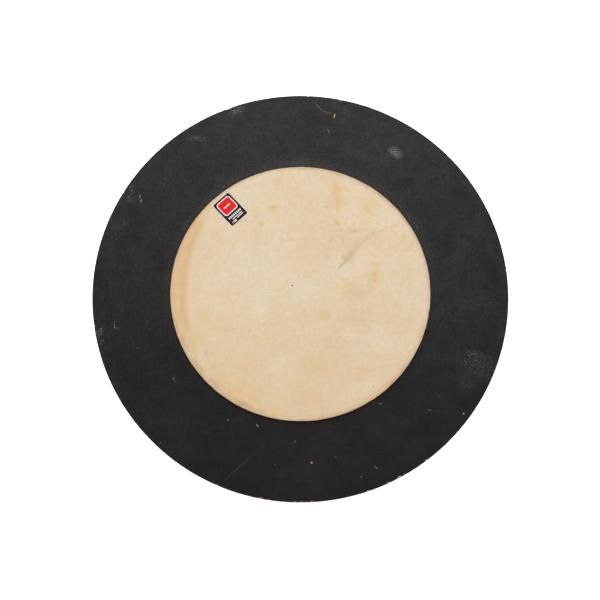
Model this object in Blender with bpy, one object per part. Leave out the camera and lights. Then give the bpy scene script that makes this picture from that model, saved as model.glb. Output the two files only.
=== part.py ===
"""A natural hide head lapped on a wooden hoop, screwed to a round black plywood board.

The board lies flat on four rubber feet, with the hide facing up. The origin is on the ground, under the
centre of the board, and +Z is up. All sizes are in metres.
"""
import math

import bmesh
import bpy

# Driving dimensions.
BOARD_RADIUS = 0.2032
BOARD_THICKNESS = 0.009
HEAD_RADIUS = 0.1268
HEAD_HEIGHT = 0.0074
HOOP_WIDTH = 0.010
HIDE_THICKNESS = 0.0006
FOOT_HEIGHT = 0.006
FOOT_CIRCLE_RADIUS = 0.165
HOOP_SCREW_COUNT = 8
HOOP_SCREW_START = math.radians(22.5)
FOOT_COUNT = 4
FOOT_START = math.radians(45.0)

# Clearances between pieces that touch.
GAP = 0.0003
LABEL_GAP = 0.0001
FELT_SIDE_GAP = 0.0005

# The circle that bounds the clear middle of the board's back, inside the heads of the hoop screws.
BACK_MIDDLE_RADIUS = 0.105

# Edges and roundings.
BOARD_ARRIS = 0.0006
HIDE_EDGE_RADIUS = 0.0048
HIDE_FOOT_RADIUS = 0.0012
HOOP_LOWER_RADIUS = 0.0006
TUCK_TOP_GAP = 0.0012
FELT_ARRIS = 0.0004

# Paper label near the edge of the hide. Its turn and place are angles from +X.
LABEL_WIDTH = 0.0214
LABEL_LENGTH = 0.0296
LABEL_THICKNESS = 0.00025
LABEL_CORNER_RADIUS = 0.0012
LABEL_CIRCLE_RADIUS = 0.107
LABEL_PLACE_ANGLE = math.radians(130.2)
LABEL_TURN_ANGLE = math.radians(43.0)
LABEL_BENDS = 4
LABEL_BEND_SPACING = 0.0014
LABEL_CROSS_BENDS = 3

# Fasteners.
SHANK_RADIUS = 0.0016
CLEARANCE_RADIUS = 0.0021
PILOT_RADIUS = 0.0019
SCREW_TIP_LENGTH = 0.0018
HOOP_PILOT_DEPTH = 0.0042
FOOT_PILOT_DEPTH = 0.0065
HEAD_DROP = 0.0021
COUNTERSUNK_RADIUS = 0.00345
DOME_HEIGHT = 0.0005
PAN_RADIUS = 0.0033
PAN_HEIGHT = 0.0018
SLOT_WIDTH = 0.0008
SLOT_DEPTH = 0.0007
CUP_RADIUS = 0.0055
CUP_LIP = 0.0004
CUP_MOUTH_RADIUS = 0.0039
CUP_THROAT_RADIUS = 0.0023
CUP_HEIGHT = 0.0018
WASHER_RADIUS = 0.0048
WASHER_THICKNESS = 0.0008

# Rubber feet.
FOOT_TOP_RADIUS = 0.0125
FOOT_BASE_RADIUS = 0.0112
FOOT_EDGE = 0.0008
FOOT_RECESS_RADIUS = 0.0056
FOOT_SEAT_THICKNESS = 0.0018

# Steps around a full turn.
BOARD_STEPS = 96
HEAD_STEPS = 64
SMALL_STEPS = 16
HOLE_STEPS = 12
ARC_STEPS = 4

# Heights worked out from the dimensions above.
BOARD_BOTTOM = FOOT_HEIGHT + GAP
BOARD_TOP = BOARD_BOTTOM + BOARD_THICKNESS
HEAD_TOP = BOARD_TOP + HEAD_HEIGHT
LAP_BOTTOM = BOARD_TOP + GAP
HOOP_BOTTOM = LAP_BOTTOM + HIDE_THICKNESS + GAP
MEMBRANE_BOTTOM = HEAD_TOP - HIDE_THICKNESS
HOOP_TOP = MEMBRANE_BOTTOM - GAP
HOOP_OUTER_RADIUS = HEAD_RADIUS - HIDE_THICKNESS - GAP
HOOP_INNER_RADIUS = HOOP_OUTER_RADIUS - HOOP_WIDTH
HOOP_SCREW_CIRCLE_RADIUS = (HOOP_OUTER_RADIUS + HOOP_INNER_RADIUS) / 2
TUCK_INNER_RADIUS = HOOP_INNER_RADIUS - GAP - HIDE_THICKNESS
FELT_RADIUS = TUCK_INNER_RADIUS - FELT_SIDE_GAP


def clear_scene():
    """Removes every object that the file holds."""
    for old in list(bpy.data.objects):
        bpy.data.objects.remove(old, do_unlink=True)


def material(name, color, roughness, metallic=0.0):
    """Makes one Principled BSDF material."""
    made = bpy.data.materials.new(name)
    made.use_nodes = True
    shader = made.node_tree.nodes["Principled BSDF"]
    shader.inputs["Base Color"].default_value = (*color, 1.0)
    shader.inputs["Roughness"].default_value = roughness
    shader.inputs["Metallic"].default_value = metallic
    return made


def link(name, mesh):
    """Puts a mesh in the scene as a named object."""
    made = bpy.data.objects.new(name, mesh)
    bpy.context.scene.collection.objects.link(made)
    return made


def finish_mesh(name, bm, surface, smooth=True):
    """Turns a bmesh into a mesh with one material, smooth except at sharp edges."""
    mesh = bpy.data.meshes.new(name)
    bmesh.ops.recalc_face_normals(bm, faces=bm.faces)
    bm.to_mesh(mesh)
    bm.free()
    if surface is not None:
        mesh.materials.append(surface)
    if smooth:
        mesh.shade_smooth()
        mesh.set_sharp_from_angle(angle=math.radians(35))
    return mesh


def arc(centre, radius, start, end, steps=ARC_STEPS):
    """Points (r, z) along an arc; start and end are angles in degrees from +r."""
    points = []
    for step in range(steps + 1):
        angle = math.radians(start + (end - start) * step / steps)
        across = centre[0] + radius * math.cos(angle)
        height = centre[1] + radius * math.sin(angle)
        points.append((across, height))
    return points


def turned_mesh(name, outline, steps, surface):
    """Turns an outline of (r, z) points about Z.

    An outline that starts and ends on the axis makes a solid, and any other outline closes on itself
    as a ring.
    """
    on_axis = outline[0][0] == 0.0 and outline[-1][0] == 0.0
    bm = bmesh.new()
    corners = [bm.verts.new((across, 0.0, height)) for across, height in outline]
    edges = [bm.edges.new(pair) for pair in zip(corners, corners[1:])]
    if not on_axis:
        edges.append(bm.edges.new((corners[-1], corners[0])))
    bmesh.ops.spin(
        bm,
        geom=corners + edges,
        cent=(0.0, 0.0, 0.0),
        axis=(0.0, 0.0, 1.0),
        angle=math.tau,
        steps=steps,
        use_merge=True,
    )
    bmesh.ops.remove_doubles(bm, verts=bm.verts, dist=1e-6)
    return finish_mesh(name, bm, surface)


def ring_angle(index, count, start):
    """The angle of one of a number of equally spaced places on a circle."""
    return start + math.tau * index / count


def placed(name, mesh, parent, radius=0.0, angle=0.0, height=0.0):
    """Makes an object of a mesh, at a distance and angle from the centre."""
    made = link(name, mesh)
    made.parent = parent
    made.location = (radius * math.cos(angle), radius * math.sin(angle), height)
    made.rotation_euler = (0.0, 0.0, angle)
    return made


def hole_cutter(name, circle_radius, count, start_angle, hole_radius, bottom, top):
    """Makes one hidden cutter: a circle of upright rods."""
    bm = bmesh.new()
    for index in range(count):
        angle = ring_angle(index, count, start_angle)
        rod = bmesh.ops.create_cone(
            bm,
            cap_ends=True,
            segments=HOLE_STEPS,
            radius1=hole_radius,
            radius2=hole_radius,
            depth=top - bottom,
        )
        place = (
            circle_radius * math.cos(angle),
            circle_radius * math.sin(angle),
            (top + bottom) / 2,
        )
        bmesh.ops.translate(bm, verts=rod["verts"], vec=place)
    cutter = link(name, finish_mesh(name, bm, None, smooth=False))
    cutter.hide_render = True
    cutter.display_type = "WIRE"
    return cutter


def cut(target, cutter):
    """Takes a cutter's shape away from an object with a Boolean modifier."""
    modifier = target.modifiers.new("holes_" + cutter.name, "BOOLEAN")
    modifier.operation = "DIFFERENCE"
    modifier.solver = "EXACT"
    modifier.object = cutter


def base_board(parent):
    """The round plywood board, with its screw holes."""
    black = material("black_board", (0.028, 0.028, 0.030), 0.62)
    outline = [
        (0.0, BOARD_TOP),
        (BOARD_RADIUS - BOARD_ARRIS, BOARD_TOP),
        (BOARD_RADIUS, BOARD_TOP - BOARD_ARRIS),
        (BOARD_RADIUS, BOARD_BOTTOM + BOARD_ARRIS),
        (BOARD_RADIUS - BOARD_ARRIS, BOARD_BOTTOM),
        (BACK_MIDDLE_RADIUS, BOARD_BOTTOM),
        (0.0, BOARD_BOTTOM),
    ]
    board = placed("base_board", turned_mesh("base_board", outline, BOARD_STEPS, black), parent)
    margin = GAP * 2
    through = hole_cutter(
        "cutter_hoop_holes",
        HOOP_SCREW_CIRCLE_RADIUS,
        HOOP_SCREW_COUNT,
        HOOP_SCREW_START,
        CLEARANCE_RADIUS,
        BOARD_BOTTOM - margin,
        BOARD_TOP + margin,
    )
    blind = hole_cutter(
        "cutter_foot_pilots",
        FOOT_CIRCLE_RADIUS,
        FOOT_COUNT,
        FOOT_START,
        PILOT_RADIUS,
        BOARD_BOTTOM - margin,
        BOARD_BOTTOM + FOOT_PILOT_DEPTH,
    )
    cut(board, through)
    cut(board, blind)
    return board


def flesh_hoop(parent):
    """The wooden ring that the hide is lapped on, with a rounded upper outer edge."""
    wood = material("hoop_wood", (0.52, 0.36, 0.20), 0.6)
    edge = HIDE_EDGE_RADIUS - HIDE_THICKNESS - GAP
    low = HOOP_LOWER_RADIUS
    outline = arc((HOOP_OUTER_RADIUS - edge, HOOP_TOP - edge), edge, 90, 0)
    outline += arc((HOOP_OUTER_RADIUS - low, HOOP_BOTTOM + low), low, 0, -90, 2)
    outline += arc((HOOP_INNER_RADIUS + low, HOOP_BOTTOM + low), low, -90, -180, 2)
    outline += arc((HOOP_INNER_RADIUS + low, HOOP_TOP - low), low, 180, 90, 2)
    hoop = placed("flesh_hoop", turned_mesh("flesh_hoop", outline, HEAD_STEPS, wood), parent)
    pilots = hole_cutter(
        "cutter_hoop_pilots",
        HOOP_SCREW_CIRCLE_RADIUS,
        HOOP_SCREW_COUNT,
        HOOP_SCREW_START,
        PILOT_RADIUS,
        HOOP_BOTTOM - HIDE_THICKNESS,
        HOOP_BOTTOM + HOOP_PILOT_DEPTH,
    )
    cut(hoop, pilots)
    return hoop


def head_skin(parent):
    """The hide: over the hoop, round its outer side, under it, and tucked up inside."""
    hide = material("natural_hide", (0.76, 0.63, 0.44), 0.55)
    thick = HIDE_THICKNESS
    outer = HIDE_EDGE_RADIUS
    foot = HIDE_FOOT_RADIUS
    low = HOOP_LOWER_RADIUS
    tuck_top = MEMBRANE_BOTTOM - TUCK_TOP_GAP
    tuck_low = low + GAP + thick
    outline = [(0.0, HEAD_TOP)]
    outline += arc((HEAD_RADIUS - outer, HEAD_TOP - outer), outer, 90, 0, 5)
    outline += arc((HEAD_RADIUS - foot, LAP_BOTTOM + foot), foot, 0, -90, 2)
    outline += arc((TUCK_INNER_RADIUS + tuck_low, LAP_BOTTOM + tuck_low), tuck_low, -90, -180, 2)
    outline += [(TUCK_INNER_RADIUS, tuck_top), (TUCK_INNER_RADIUS + thick, tuck_top)]
    inner = tuck_low - thick
    outline += arc((TUCK_INNER_RADIUS + tuck_low, LAP_BOTTOM + tuck_low), inner, 180, 270, 2)
    inner = foot - thick
    outline += arc((HEAD_RADIUS - foot, LAP_BOTTOM + foot), inner, -90, 0, 2)
    inner = outer - thick
    outline += arc((HEAD_RADIUS - outer, HEAD_TOP - outer), inner, 0, 90, 5)
    outline += [(0.0, MEMBRANE_BOTTOM)]
    skin = placed("head_skin", turned_mesh("head_skin", outline, HEAD_STEPS, hide), parent)
    holes = hole_cutter(
        "cutter_hide_holes",
        HOOP_SCREW_CIRCLE_RADIUS,
        HOOP_SCREW_COUNT,
        HOOP_SCREW_START,
        PILOT_RADIUS,
        LAP_BOTTOM - GAP / 2,
        LAP_BOTTOM + thick + GAP / 2,
    )
    cut(skin, holes)
    return skin


def felt_damper(parent):
    """The felt disc that fills the hollow under the hide."""
    felt = material("grey_felt", (0.30, 0.29, 0.27), 0.95)
    bottom = BOARD_TOP + GAP
    top = MEMBRANE_BOTTOM - GAP
    outline = [
        (0.0, top),
        (FELT_RADIUS - FELT_ARRIS, top),
        (FELT_RADIUS, top - FELT_ARRIS),
        (FELT_RADIUS, bottom),
        (0.0, bottom),
    ]
    return placed("felt_damper", turned_mesh("felt_damper", outline, HEAD_STEPS, felt), parent)


def hide_height(distance):
    """Height of the hide's outer surface at a distance from the centre."""
    past = distance - (HEAD_RADIUS - HIDE_EDGE_RADIUS)
    if past <= 0.0:
        return HEAD_TOP
    drop = HIDE_EDGE_RADIUS - math.sqrt(max(HIDE_EDGE_RADIUS**2 - past**2, 0.0))
    return HEAD_TOP - drop


def label(parent):
    """The thin paper label, which bends down where the hide rounds off."""
    paper = material("label_paper", (0.03, 0.03, 0.035), 0.4)
    half_width = LABEL_WIDTH / 2 - LABEL_CORNER_RADIUS
    half_length = LABEL_LENGTH / 2 - LABEL_CORNER_RADIUS
    bm = bmesh.new()
    corners = []
    places = ((half_width, half_length), (-half_width, half_length))
    places += ((-half_width, -half_length), (half_width, -half_length))
    for quarter, centre in enumerate(places):
        for point in arc(centre, LABEL_CORNER_RADIUS, quarter * 90, quarter * 90 + 90, 3):
            corners.append(bm.verts.new((point[0], point[1], 0.0)))
    sheet = bm.faces.new(corners)
    raised = bmesh.ops.extrude_face_region(bm, geom=[sheet])
    top = [item for item in raised["geom"] if isinstance(item, bmesh.types.BMVert)]
    bmesh.ops.translate(bm, verts=top, vec=(0.0, 0.0, LABEL_THICKNESS))
    bends = []
    for bend in range(LABEL_BENDS):
        bends.append(((0.0, half_length - bend * LABEL_BEND_SPACING, 0.0), (0.0, 1.0, 0.0)))
    for bend in range(LABEL_CROSS_BENDS):
        across = LABEL_WIDTH * ((bend + 1) / (LABEL_CROSS_BENDS + 1) - 0.5)
        bends.append(((across, 0.0, 0.0), (1.0, 0.0, 0.0)))
    for point, direction in bends:
        everything = bm.verts[:] + bm.edges[:] + bm.faces[:]
        bmesh.ops.bisect_plane(bm, geom=everything, plane_co=point, plane_no=direction)
    cosine = math.cos(LABEL_TURN_ANGLE)
    sine = math.sin(LABEL_TURN_ANGLE)
    centre_x = LABEL_CIRCLE_RADIUS * math.cos(LABEL_PLACE_ANGLE)
    centre_y = LABEL_CIRCLE_RADIUS * math.sin(LABEL_PLACE_ANGLE)
    for vert in bm.verts:
        turned_x = centre_x + vert.co.x * cosine - vert.co.y * sine
        turned_y = centre_y + vert.co.x * sine + vert.co.y * cosine
        seat = hide_height(math.hypot(turned_x, turned_y)) + LABEL_GAP
        vert.co = (turned_x, turned_y, seat + vert.co.z)
    bmesh.ops.triangulate(bm, faces=bm.faces)
    return placed("label", finish_mesh("label", bm, paper), parent)


def slotted_screw_mesh(name, head_outline, head_bottom, shank_length, surface):
    """A screw that stands head down: the shank starts at height 0 and runs up to its tip."""
    outline = [
        (0.0, shank_length),
        (SHANK_RADIUS, shank_length - SCREW_TIP_LENGTH),
        *head_outline,
    ]
    blank = link(name, turned_mesh(name, outline, SMALL_STEPS, surface))
    bm = bmesh.new()
    bmesh.ops.create_cube(bm, size=1.0)
    bmesh.ops.scale(bm, verts=bm.verts, vec=(4 * PAN_RADIUS, SLOT_WIDTH, 2 * SLOT_DEPTH))
    bmesh.ops.translate(bm, verts=bm.verts, vec=(0.0, 0.0, head_bottom))
    slot = link(name + "_slot", finish_mesh(name + "_slot", bm, None, smooth=False))
    cut(blank, slot)
    depsgraph = bpy.context.evaluated_depsgraph_get()
    mesh = bpy.data.meshes.new_from_object(blank.evaluated_get(depsgraph))
    mesh.name = name
    bpy.data.objects.remove(blank)
    bpy.data.objects.remove(slot)
    return mesh


def hoop_fasteners(parent):
    """Raised countersunk screws in cup washers, from the back of the board into the hoop."""
    steel = material("screw_steel", (0.56, 0.55, 0.52), 0.35, 1.0)
    brass = material("cup_washer_brass", (0.62, 0.46, 0.20), 0.35, 1.0)
    head_outline = [
        (SHANK_RADIUS, 0.0),
        (COUNTERSUNK_RADIUS, -HEAD_DROP),
        (COUNTERSUNK_RADIUS * 0.6, -HEAD_DROP - DOME_HEIGHT * 0.75),
        (0.0, -HEAD_DROP - DOME_HEIGHT),
    ]
    tip = HOOP_BOTTOM + HOOP_PILOT_DEPTH - 2 * GAP
    length = tip - BOARD_BOTTOM
    screw = slotted_screw_mesh(
        "hoop_screw", head_outline, -HEAD_DROP - DOME_HEIGHT, length, steel
    )
    lip_bottom = -GAP - CUP_LIP
    cup_bottom = -GAP - CUP_HEIGHT
    cup_outline = [
        (CUP_THROAT_RADIUS, -GAP),
        (CUP_RADIUS, -GAP),
        (CUP_RADIUS, lip_bottom),
        (CUP_MOUTH_RADIUS + 2 * CUP_LIP, cup_bottom),
        (CUP_MOUTH_RADIUS, cup_bottom),
    ]
    cup = turned_mesh("hoop_washer", cup_outline, SMALL_STEPS, brass)
    for index in range(HOOP_SCREW_COUNT):
        angle = ring_angle(index, HOOP_SCREW_COUNT, HOOP_SCREW_START)
        number = str(index + 1)
        placed("hoop_screw_" + number, screw, parent, HOOP_SCREW_CIRCLE_RADIUS, angle, BOARD_BOTTOM)
        placed("hoop_washer_" + number, cup, parent, HOOP_SCREW_CIRCLE_RADIUS, angle, BOARD_BOTTOM)


def feet(parent):
    """Four turned rubber feet, each held by a pan head screw and a flat washer in its recess."""
    rubber = material("foot_rubber", (0.045, 0.045, 0.045), 0.8)
    steel = material("foot_screw_steel", (0.56, 0.55, 0.52), 0.4, 1.0)
    zinc = material("foot_washer_zinc", (0.60, 0.60, 0.58), 0.4, 1.0)
    seat = FOOT_HEIGHT - FOOT_SEAT_THICKNESS
    foot_outline = [
        (CLEARANCE_RADIUS, FOOT_HEIGHT),
        (FOOT_TOP_RADIUS, FOOT_HEIGHT),
        (FOOT_BASE_RADIUS + FOOT_EDGE, FOOT_EDGE),
        (FOOT_BASE_RADIUS, 0.0),
        (FOOT_RECESS_RADIUS, 0.0),
        (FOOT_RECESS_RADIUS, seat),
        (CLEARANCE_RADIUS, seat),
    ]
    foot = turned_mesh("rubber_foot", foot_outline, 2 * SMALL_STEPS, rubber)
    washer_top = seat - GAP
    washer_bottom = washer_top - WASHER_THICKNESS
    washer_outline = [
        (CLEARANCE_RADIUS, washer_top),
        (WASHER_RADIUS, washer_top),
        (WASHER_RADIUS, washer_bottom),
        (CLEARANCE_RADIUS, washer_bottom),
    ]
    washer = turned_mesh("foot_washer", washer_outline, SMALL_STEPS, zinc)
    shank_start = washer_bottom - GAP
    length = BOARD_BOTTOM + FOOT_PILOT_DEPTH - 2 * GAP - shank_start
    head_outline = [
        (SHANK_RADIUS, 0.0),
        (PAN_RADIUS, 0.0),
        (PAN_RADIUS, -PAN_HEIGHT * 0.5),
        (PAN_RADIUS * 0.7, -PAN_HEIGHT * 0.9),
        (0.0, -PAN_HEIGHT),
    ]
    screw = slotted_screw_mesh("foot_screw", head_outline, -PAN_HEIGHT, length, steel)
    for index in range(FOOT_COUNT):
        angle = ring_angle(index, FOOT_COUNT, FOOT_START)
        number = str(index + 1)
        placed("rubber_foot_" + number, foot, parent, FOOT_CIRCLE_RADIUS, angle)
        placed("foot_washer_" + number, washer, parent, FOOT_CIRCLE_RADIUS, angle)
        placed("foot_screw_" + number, screw, parent, FOOT_CIRCLE_RADIUS, angle, shank_start)


def main():
    """Builds every piece under one empty."""
    clear_scene()
    assembly = link("board_and_head", None)
    base_board(assembly)
    flesh_hoop(assembly)
    head_skin(assembly)
    felt_damper(assembly)
    label(assembly)
    hoop_fasteners(assembly)
    feet(assembly)


main()
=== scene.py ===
"""The looks of a natural hide head on a round black plywood board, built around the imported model.

Lengths are in metres. Places on the round pieces are given as (angle in degrees from +X, distance in
millimetres from the centre), which is how a person would point them out on the object.
"""
import math
import random

import bmesh
import bpy
import numpy as np
from mathutils import Euler, Matrix, Vector, noise


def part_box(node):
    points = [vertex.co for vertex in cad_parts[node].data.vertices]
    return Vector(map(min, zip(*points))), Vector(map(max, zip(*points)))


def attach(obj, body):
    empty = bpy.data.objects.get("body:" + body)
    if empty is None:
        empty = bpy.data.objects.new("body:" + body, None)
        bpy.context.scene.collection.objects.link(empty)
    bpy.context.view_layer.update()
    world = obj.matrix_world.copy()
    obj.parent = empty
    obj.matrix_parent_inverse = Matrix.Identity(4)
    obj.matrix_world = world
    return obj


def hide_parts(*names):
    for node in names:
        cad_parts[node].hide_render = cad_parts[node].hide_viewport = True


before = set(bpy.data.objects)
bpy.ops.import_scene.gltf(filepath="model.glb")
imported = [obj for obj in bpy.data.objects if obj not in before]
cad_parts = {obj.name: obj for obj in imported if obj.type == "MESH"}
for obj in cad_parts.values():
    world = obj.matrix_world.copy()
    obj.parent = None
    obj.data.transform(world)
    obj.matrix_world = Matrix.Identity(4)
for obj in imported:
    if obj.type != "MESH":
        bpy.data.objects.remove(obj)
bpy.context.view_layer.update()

MM = 0.001
BODY = "root"

# The frame's own sizes.
BOARD_LOW, BOARD_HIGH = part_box("base_board")
HEAD_LOW, HEAD_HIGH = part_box("head_skin")
HOOP_LOW, HOOP_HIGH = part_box("flesh_hoop")
FELT_LOW, FELT_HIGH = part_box("felt_damper")
LABEL_LOW, LABEL_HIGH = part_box("label")
BOARD_RADIUS = BOARD_HIGH.x
BOARD_TOP = BOARD_HIGH.z
BOARD_BOTTOM = BOARD_LOW.z
HEAD_RADIUS = HEAD_HIGH.x
HEAD_TOP = HEAD_HIGH.z
LAP_BOTTOM = HEAD_LOW.z
HOOP_OUTER_RADIUS = HOOP_HIGH.x
FELT_RADIUS = FELT_HIGH.x

# Sizes that the boxes don't give, the same as in the part.
HIDE_THICKNESS = 0.6 * MM
HIDE_EDGE_RADIUS = 4.8 * MM
HIDE_FOOT_RADIUS = 1.2 * MM
HOOP_WIDTH = 10.0 * MM
PIECE_GAP = 0.3 * MM
TUCK_DROP = 1.2 * MM
LABEL_WIDTH = 21.4 * MM
LABEL_LENGTH = 29.6 * MM
LABEL_THICKNESS = 0.25 * MM
LABEL_TURN = math.radians(43.0)
HOOP_INNER_RADIUS = HOOP_OUTER_RADIUS - HOOP_WIDTH
TUCK_INNER_RADIUS = HOOP_INNER_RADIUS - PIECE_GAP - HIDE_THICKNESS
HOLE_RADIUS = 2.1 * MM
PILOT_RADIUS = 1.9 * MM
SHANK_RADIUS = 1.6 * MM

HOOP_SCREWS = [f"hoop_screw_{n}" for n in range(1, 9)]
HOOP_WASHERS = [f"hoop_washer_{n}" for n in range(1, 9)]
FEET = [f"rubber_foot_{n}" for n in range(1, 5)]
FOOT_SCREWS = [f"foot_screw_{n}" for n in range(1, 5)]
FOOT_WASHERS = [f"foot_washer_{n}" for n in range(1, 5)]

# Steps around a full turn.
BOARD_STEPS = 1120
HIDE_STEPS = 600
HOOP_STEPS = 256
FOOT_STEPS = 96
WASHER_STEPS = 64
SCREW_STEPS = 32
HOLE_STEPS = 32
FLOOR_STEPS = 96


# ---------------------------------------------------------------- colours and places

WHITE = (1.0, 1.0, 1.0, 1.0)


def tone(red, green, blue):
    """A colour given as display values from 0 to 255, as the linear colour that shaders take."""
    linear = []
    for value in (red, green, blue):
        share = value / 255
        linear.append(share / 12.92 if share <= 0.04045 else ((share + 0.055) / 1.055) ** 2.4)
    return (*linear, 1.0)


def at(angle, distance):
    """The (x, y) of a place, from its angle in degrees and its distance in millimetres."""
    turn = math.radians(angle)
    return (distance * MM * math.cos(turn), distance * MM * math.sin(turn))


def linked(name, data):
    """A new object in the scene."""
    made = bpy.data.objects.new(name, data)
    bpy.context.scene.collection.objects.link(made)
    return made


# ---------------------------------------------------------------- camera, lights and floor

# The camera looks down on the board's middle from the front, a little off the vertical.
CAMERA_DISTANCE = 1.3
CAMERA_TILT = math.radians(12.7)
CAMERA_LENS = 79.86
CAMERA_SENSOR = 36.0
CAMERA_SHIFT = (-0.0006, -0.0134)

# The surround is bright all round near the horizon and dim overhead, like a white sweep in a studio.
FLOOR_RADIUS = 30.0
FLOOR_COLOR = (0.96, 0.96, 0.96, 1.0)
FLOOR_GLOW = 0.8
HORIZON_STRENGTH = 2.6
OVERHEAD_STRENGTH = 0.20
SWEEP_LOW = math.sin(math.radians(16))
SWEEP_HIGH = math.sin(math.radians(30))

# Soft lights: (name, turn from +X, height, both in degrees, size, watts).
LIGHT_DISTANCE = 3.2
LIGHTS = (
    ("back_light", 88, 60, (2.4, 1.7), 60.0),
    ("left_fill", 186, 34, (1.6, 1.2), 15.0),
    ("front_fill", 278, 30, (2.4, 1.2), 26.0),
)


def make_camera():
    """The camera at the picture's angle."""
    data = bpy.data.cameras.new("camera")
    data.lens = CAMERA_LENS
    data.sensor_width = CAMERA_SENSOR
    data.shift_x, data.shift_y = CAMERA_SHIFT
    data.clip_end = 100.0
    camera = linked("camera", data)
    back = Vector((0.0, -math.sin(CAMERA_TILT), math.cos(CAMERA_TILT)))
    camera.location = Vector((0.0, 0.0, BOARD_TOP)) + back * CAMERA_DISTANCE
    camera.rotation_euler = Euler((CAMERA_TILT, 0.0, 0.0))
    bpy.context.scene.camera = camera


def make_lights():
    """The soft rectangular lights, which all face the board."""
    for name, turn, height, size, power in LIGHTS:
        data = bpy.data.lights.new(name, "AREA")
        data.shape = "RECTANGLE"
        data.size, data.size_y = size
        data.energy = power
        light = linked(name, data)
        turn, height = math.radians(turn), math.radians(height)
        level = math.cos(height)
        place = Vector((level * math.cos(turn), level * math.sin(turn), math.sin(height)))
        light.location = place * LIGHT_DISTANCE
        light.rotation_euler = (-place).to_track_quat("-Z", "Y").to_euler()


def make_surround():
    """A white surround that is brightest near the horizon."""
    world = bpy.data.worlds.new("studio")
    world.use_nodes = True
    nodes, links = world.node_tree.nodes, world.node_tree.links
    direction = nodes.new("ShaderNodeTexCoord").outputs["Generated"]
    split = nodes.new("ShaderNodeSeparateXYZ")
    links.new(direction, split.inputs[0])
    ramp = nodes.new("ShaderNodeMapRange")
    links.new(split.outputs["Z"], ramp.inputs["Value"])
    ramp.inputs["From Min"].default_value = SWEEP_LOW
    ramp.inputs["From Max"].default_value = SWEEP_HIGH
    ramp.inputs["To Min"].default_value = HORIZON_STRENGTH
    ramp.inputs["To Max"].default_value = OVERHEAD_STRENGTH
    background = nodes["Background"]
    background.inputs["Color"].default_value = WHITE
    links.new(ramp.outputs[0], background.inputs["Strength"])
    bpy.context.scene.world = world


def make_floor():
    """A plain white floor."""
    bm = bmesh.new()
    bmesh.ops.create_circle(bm, cap_ends=True, segments=FLOOR_STEPS, radius=FLOOR_RADIUS)
    mesh = bpy.data.meshes.new("floor")
    bm.to_mesh(mesh)
    bm.free()
    floor = linked("floor", mesh)
    paper = Shader("floor_paper", roughness=0.9, specular=0.1)
    paper.surface.inputs["Emission Color"].default_value = WHITE
    paper.surface.inputs["Emission Strength"].default_value = FLOOR_GLOW
    mesh.materials.append(paper.finish(FLOOR_COLOR))


# ---------------------------------------------------------------- materials

# Most of a noise's values lie between these.
NOISE_SPAN = (0.3, 0.7)


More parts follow.
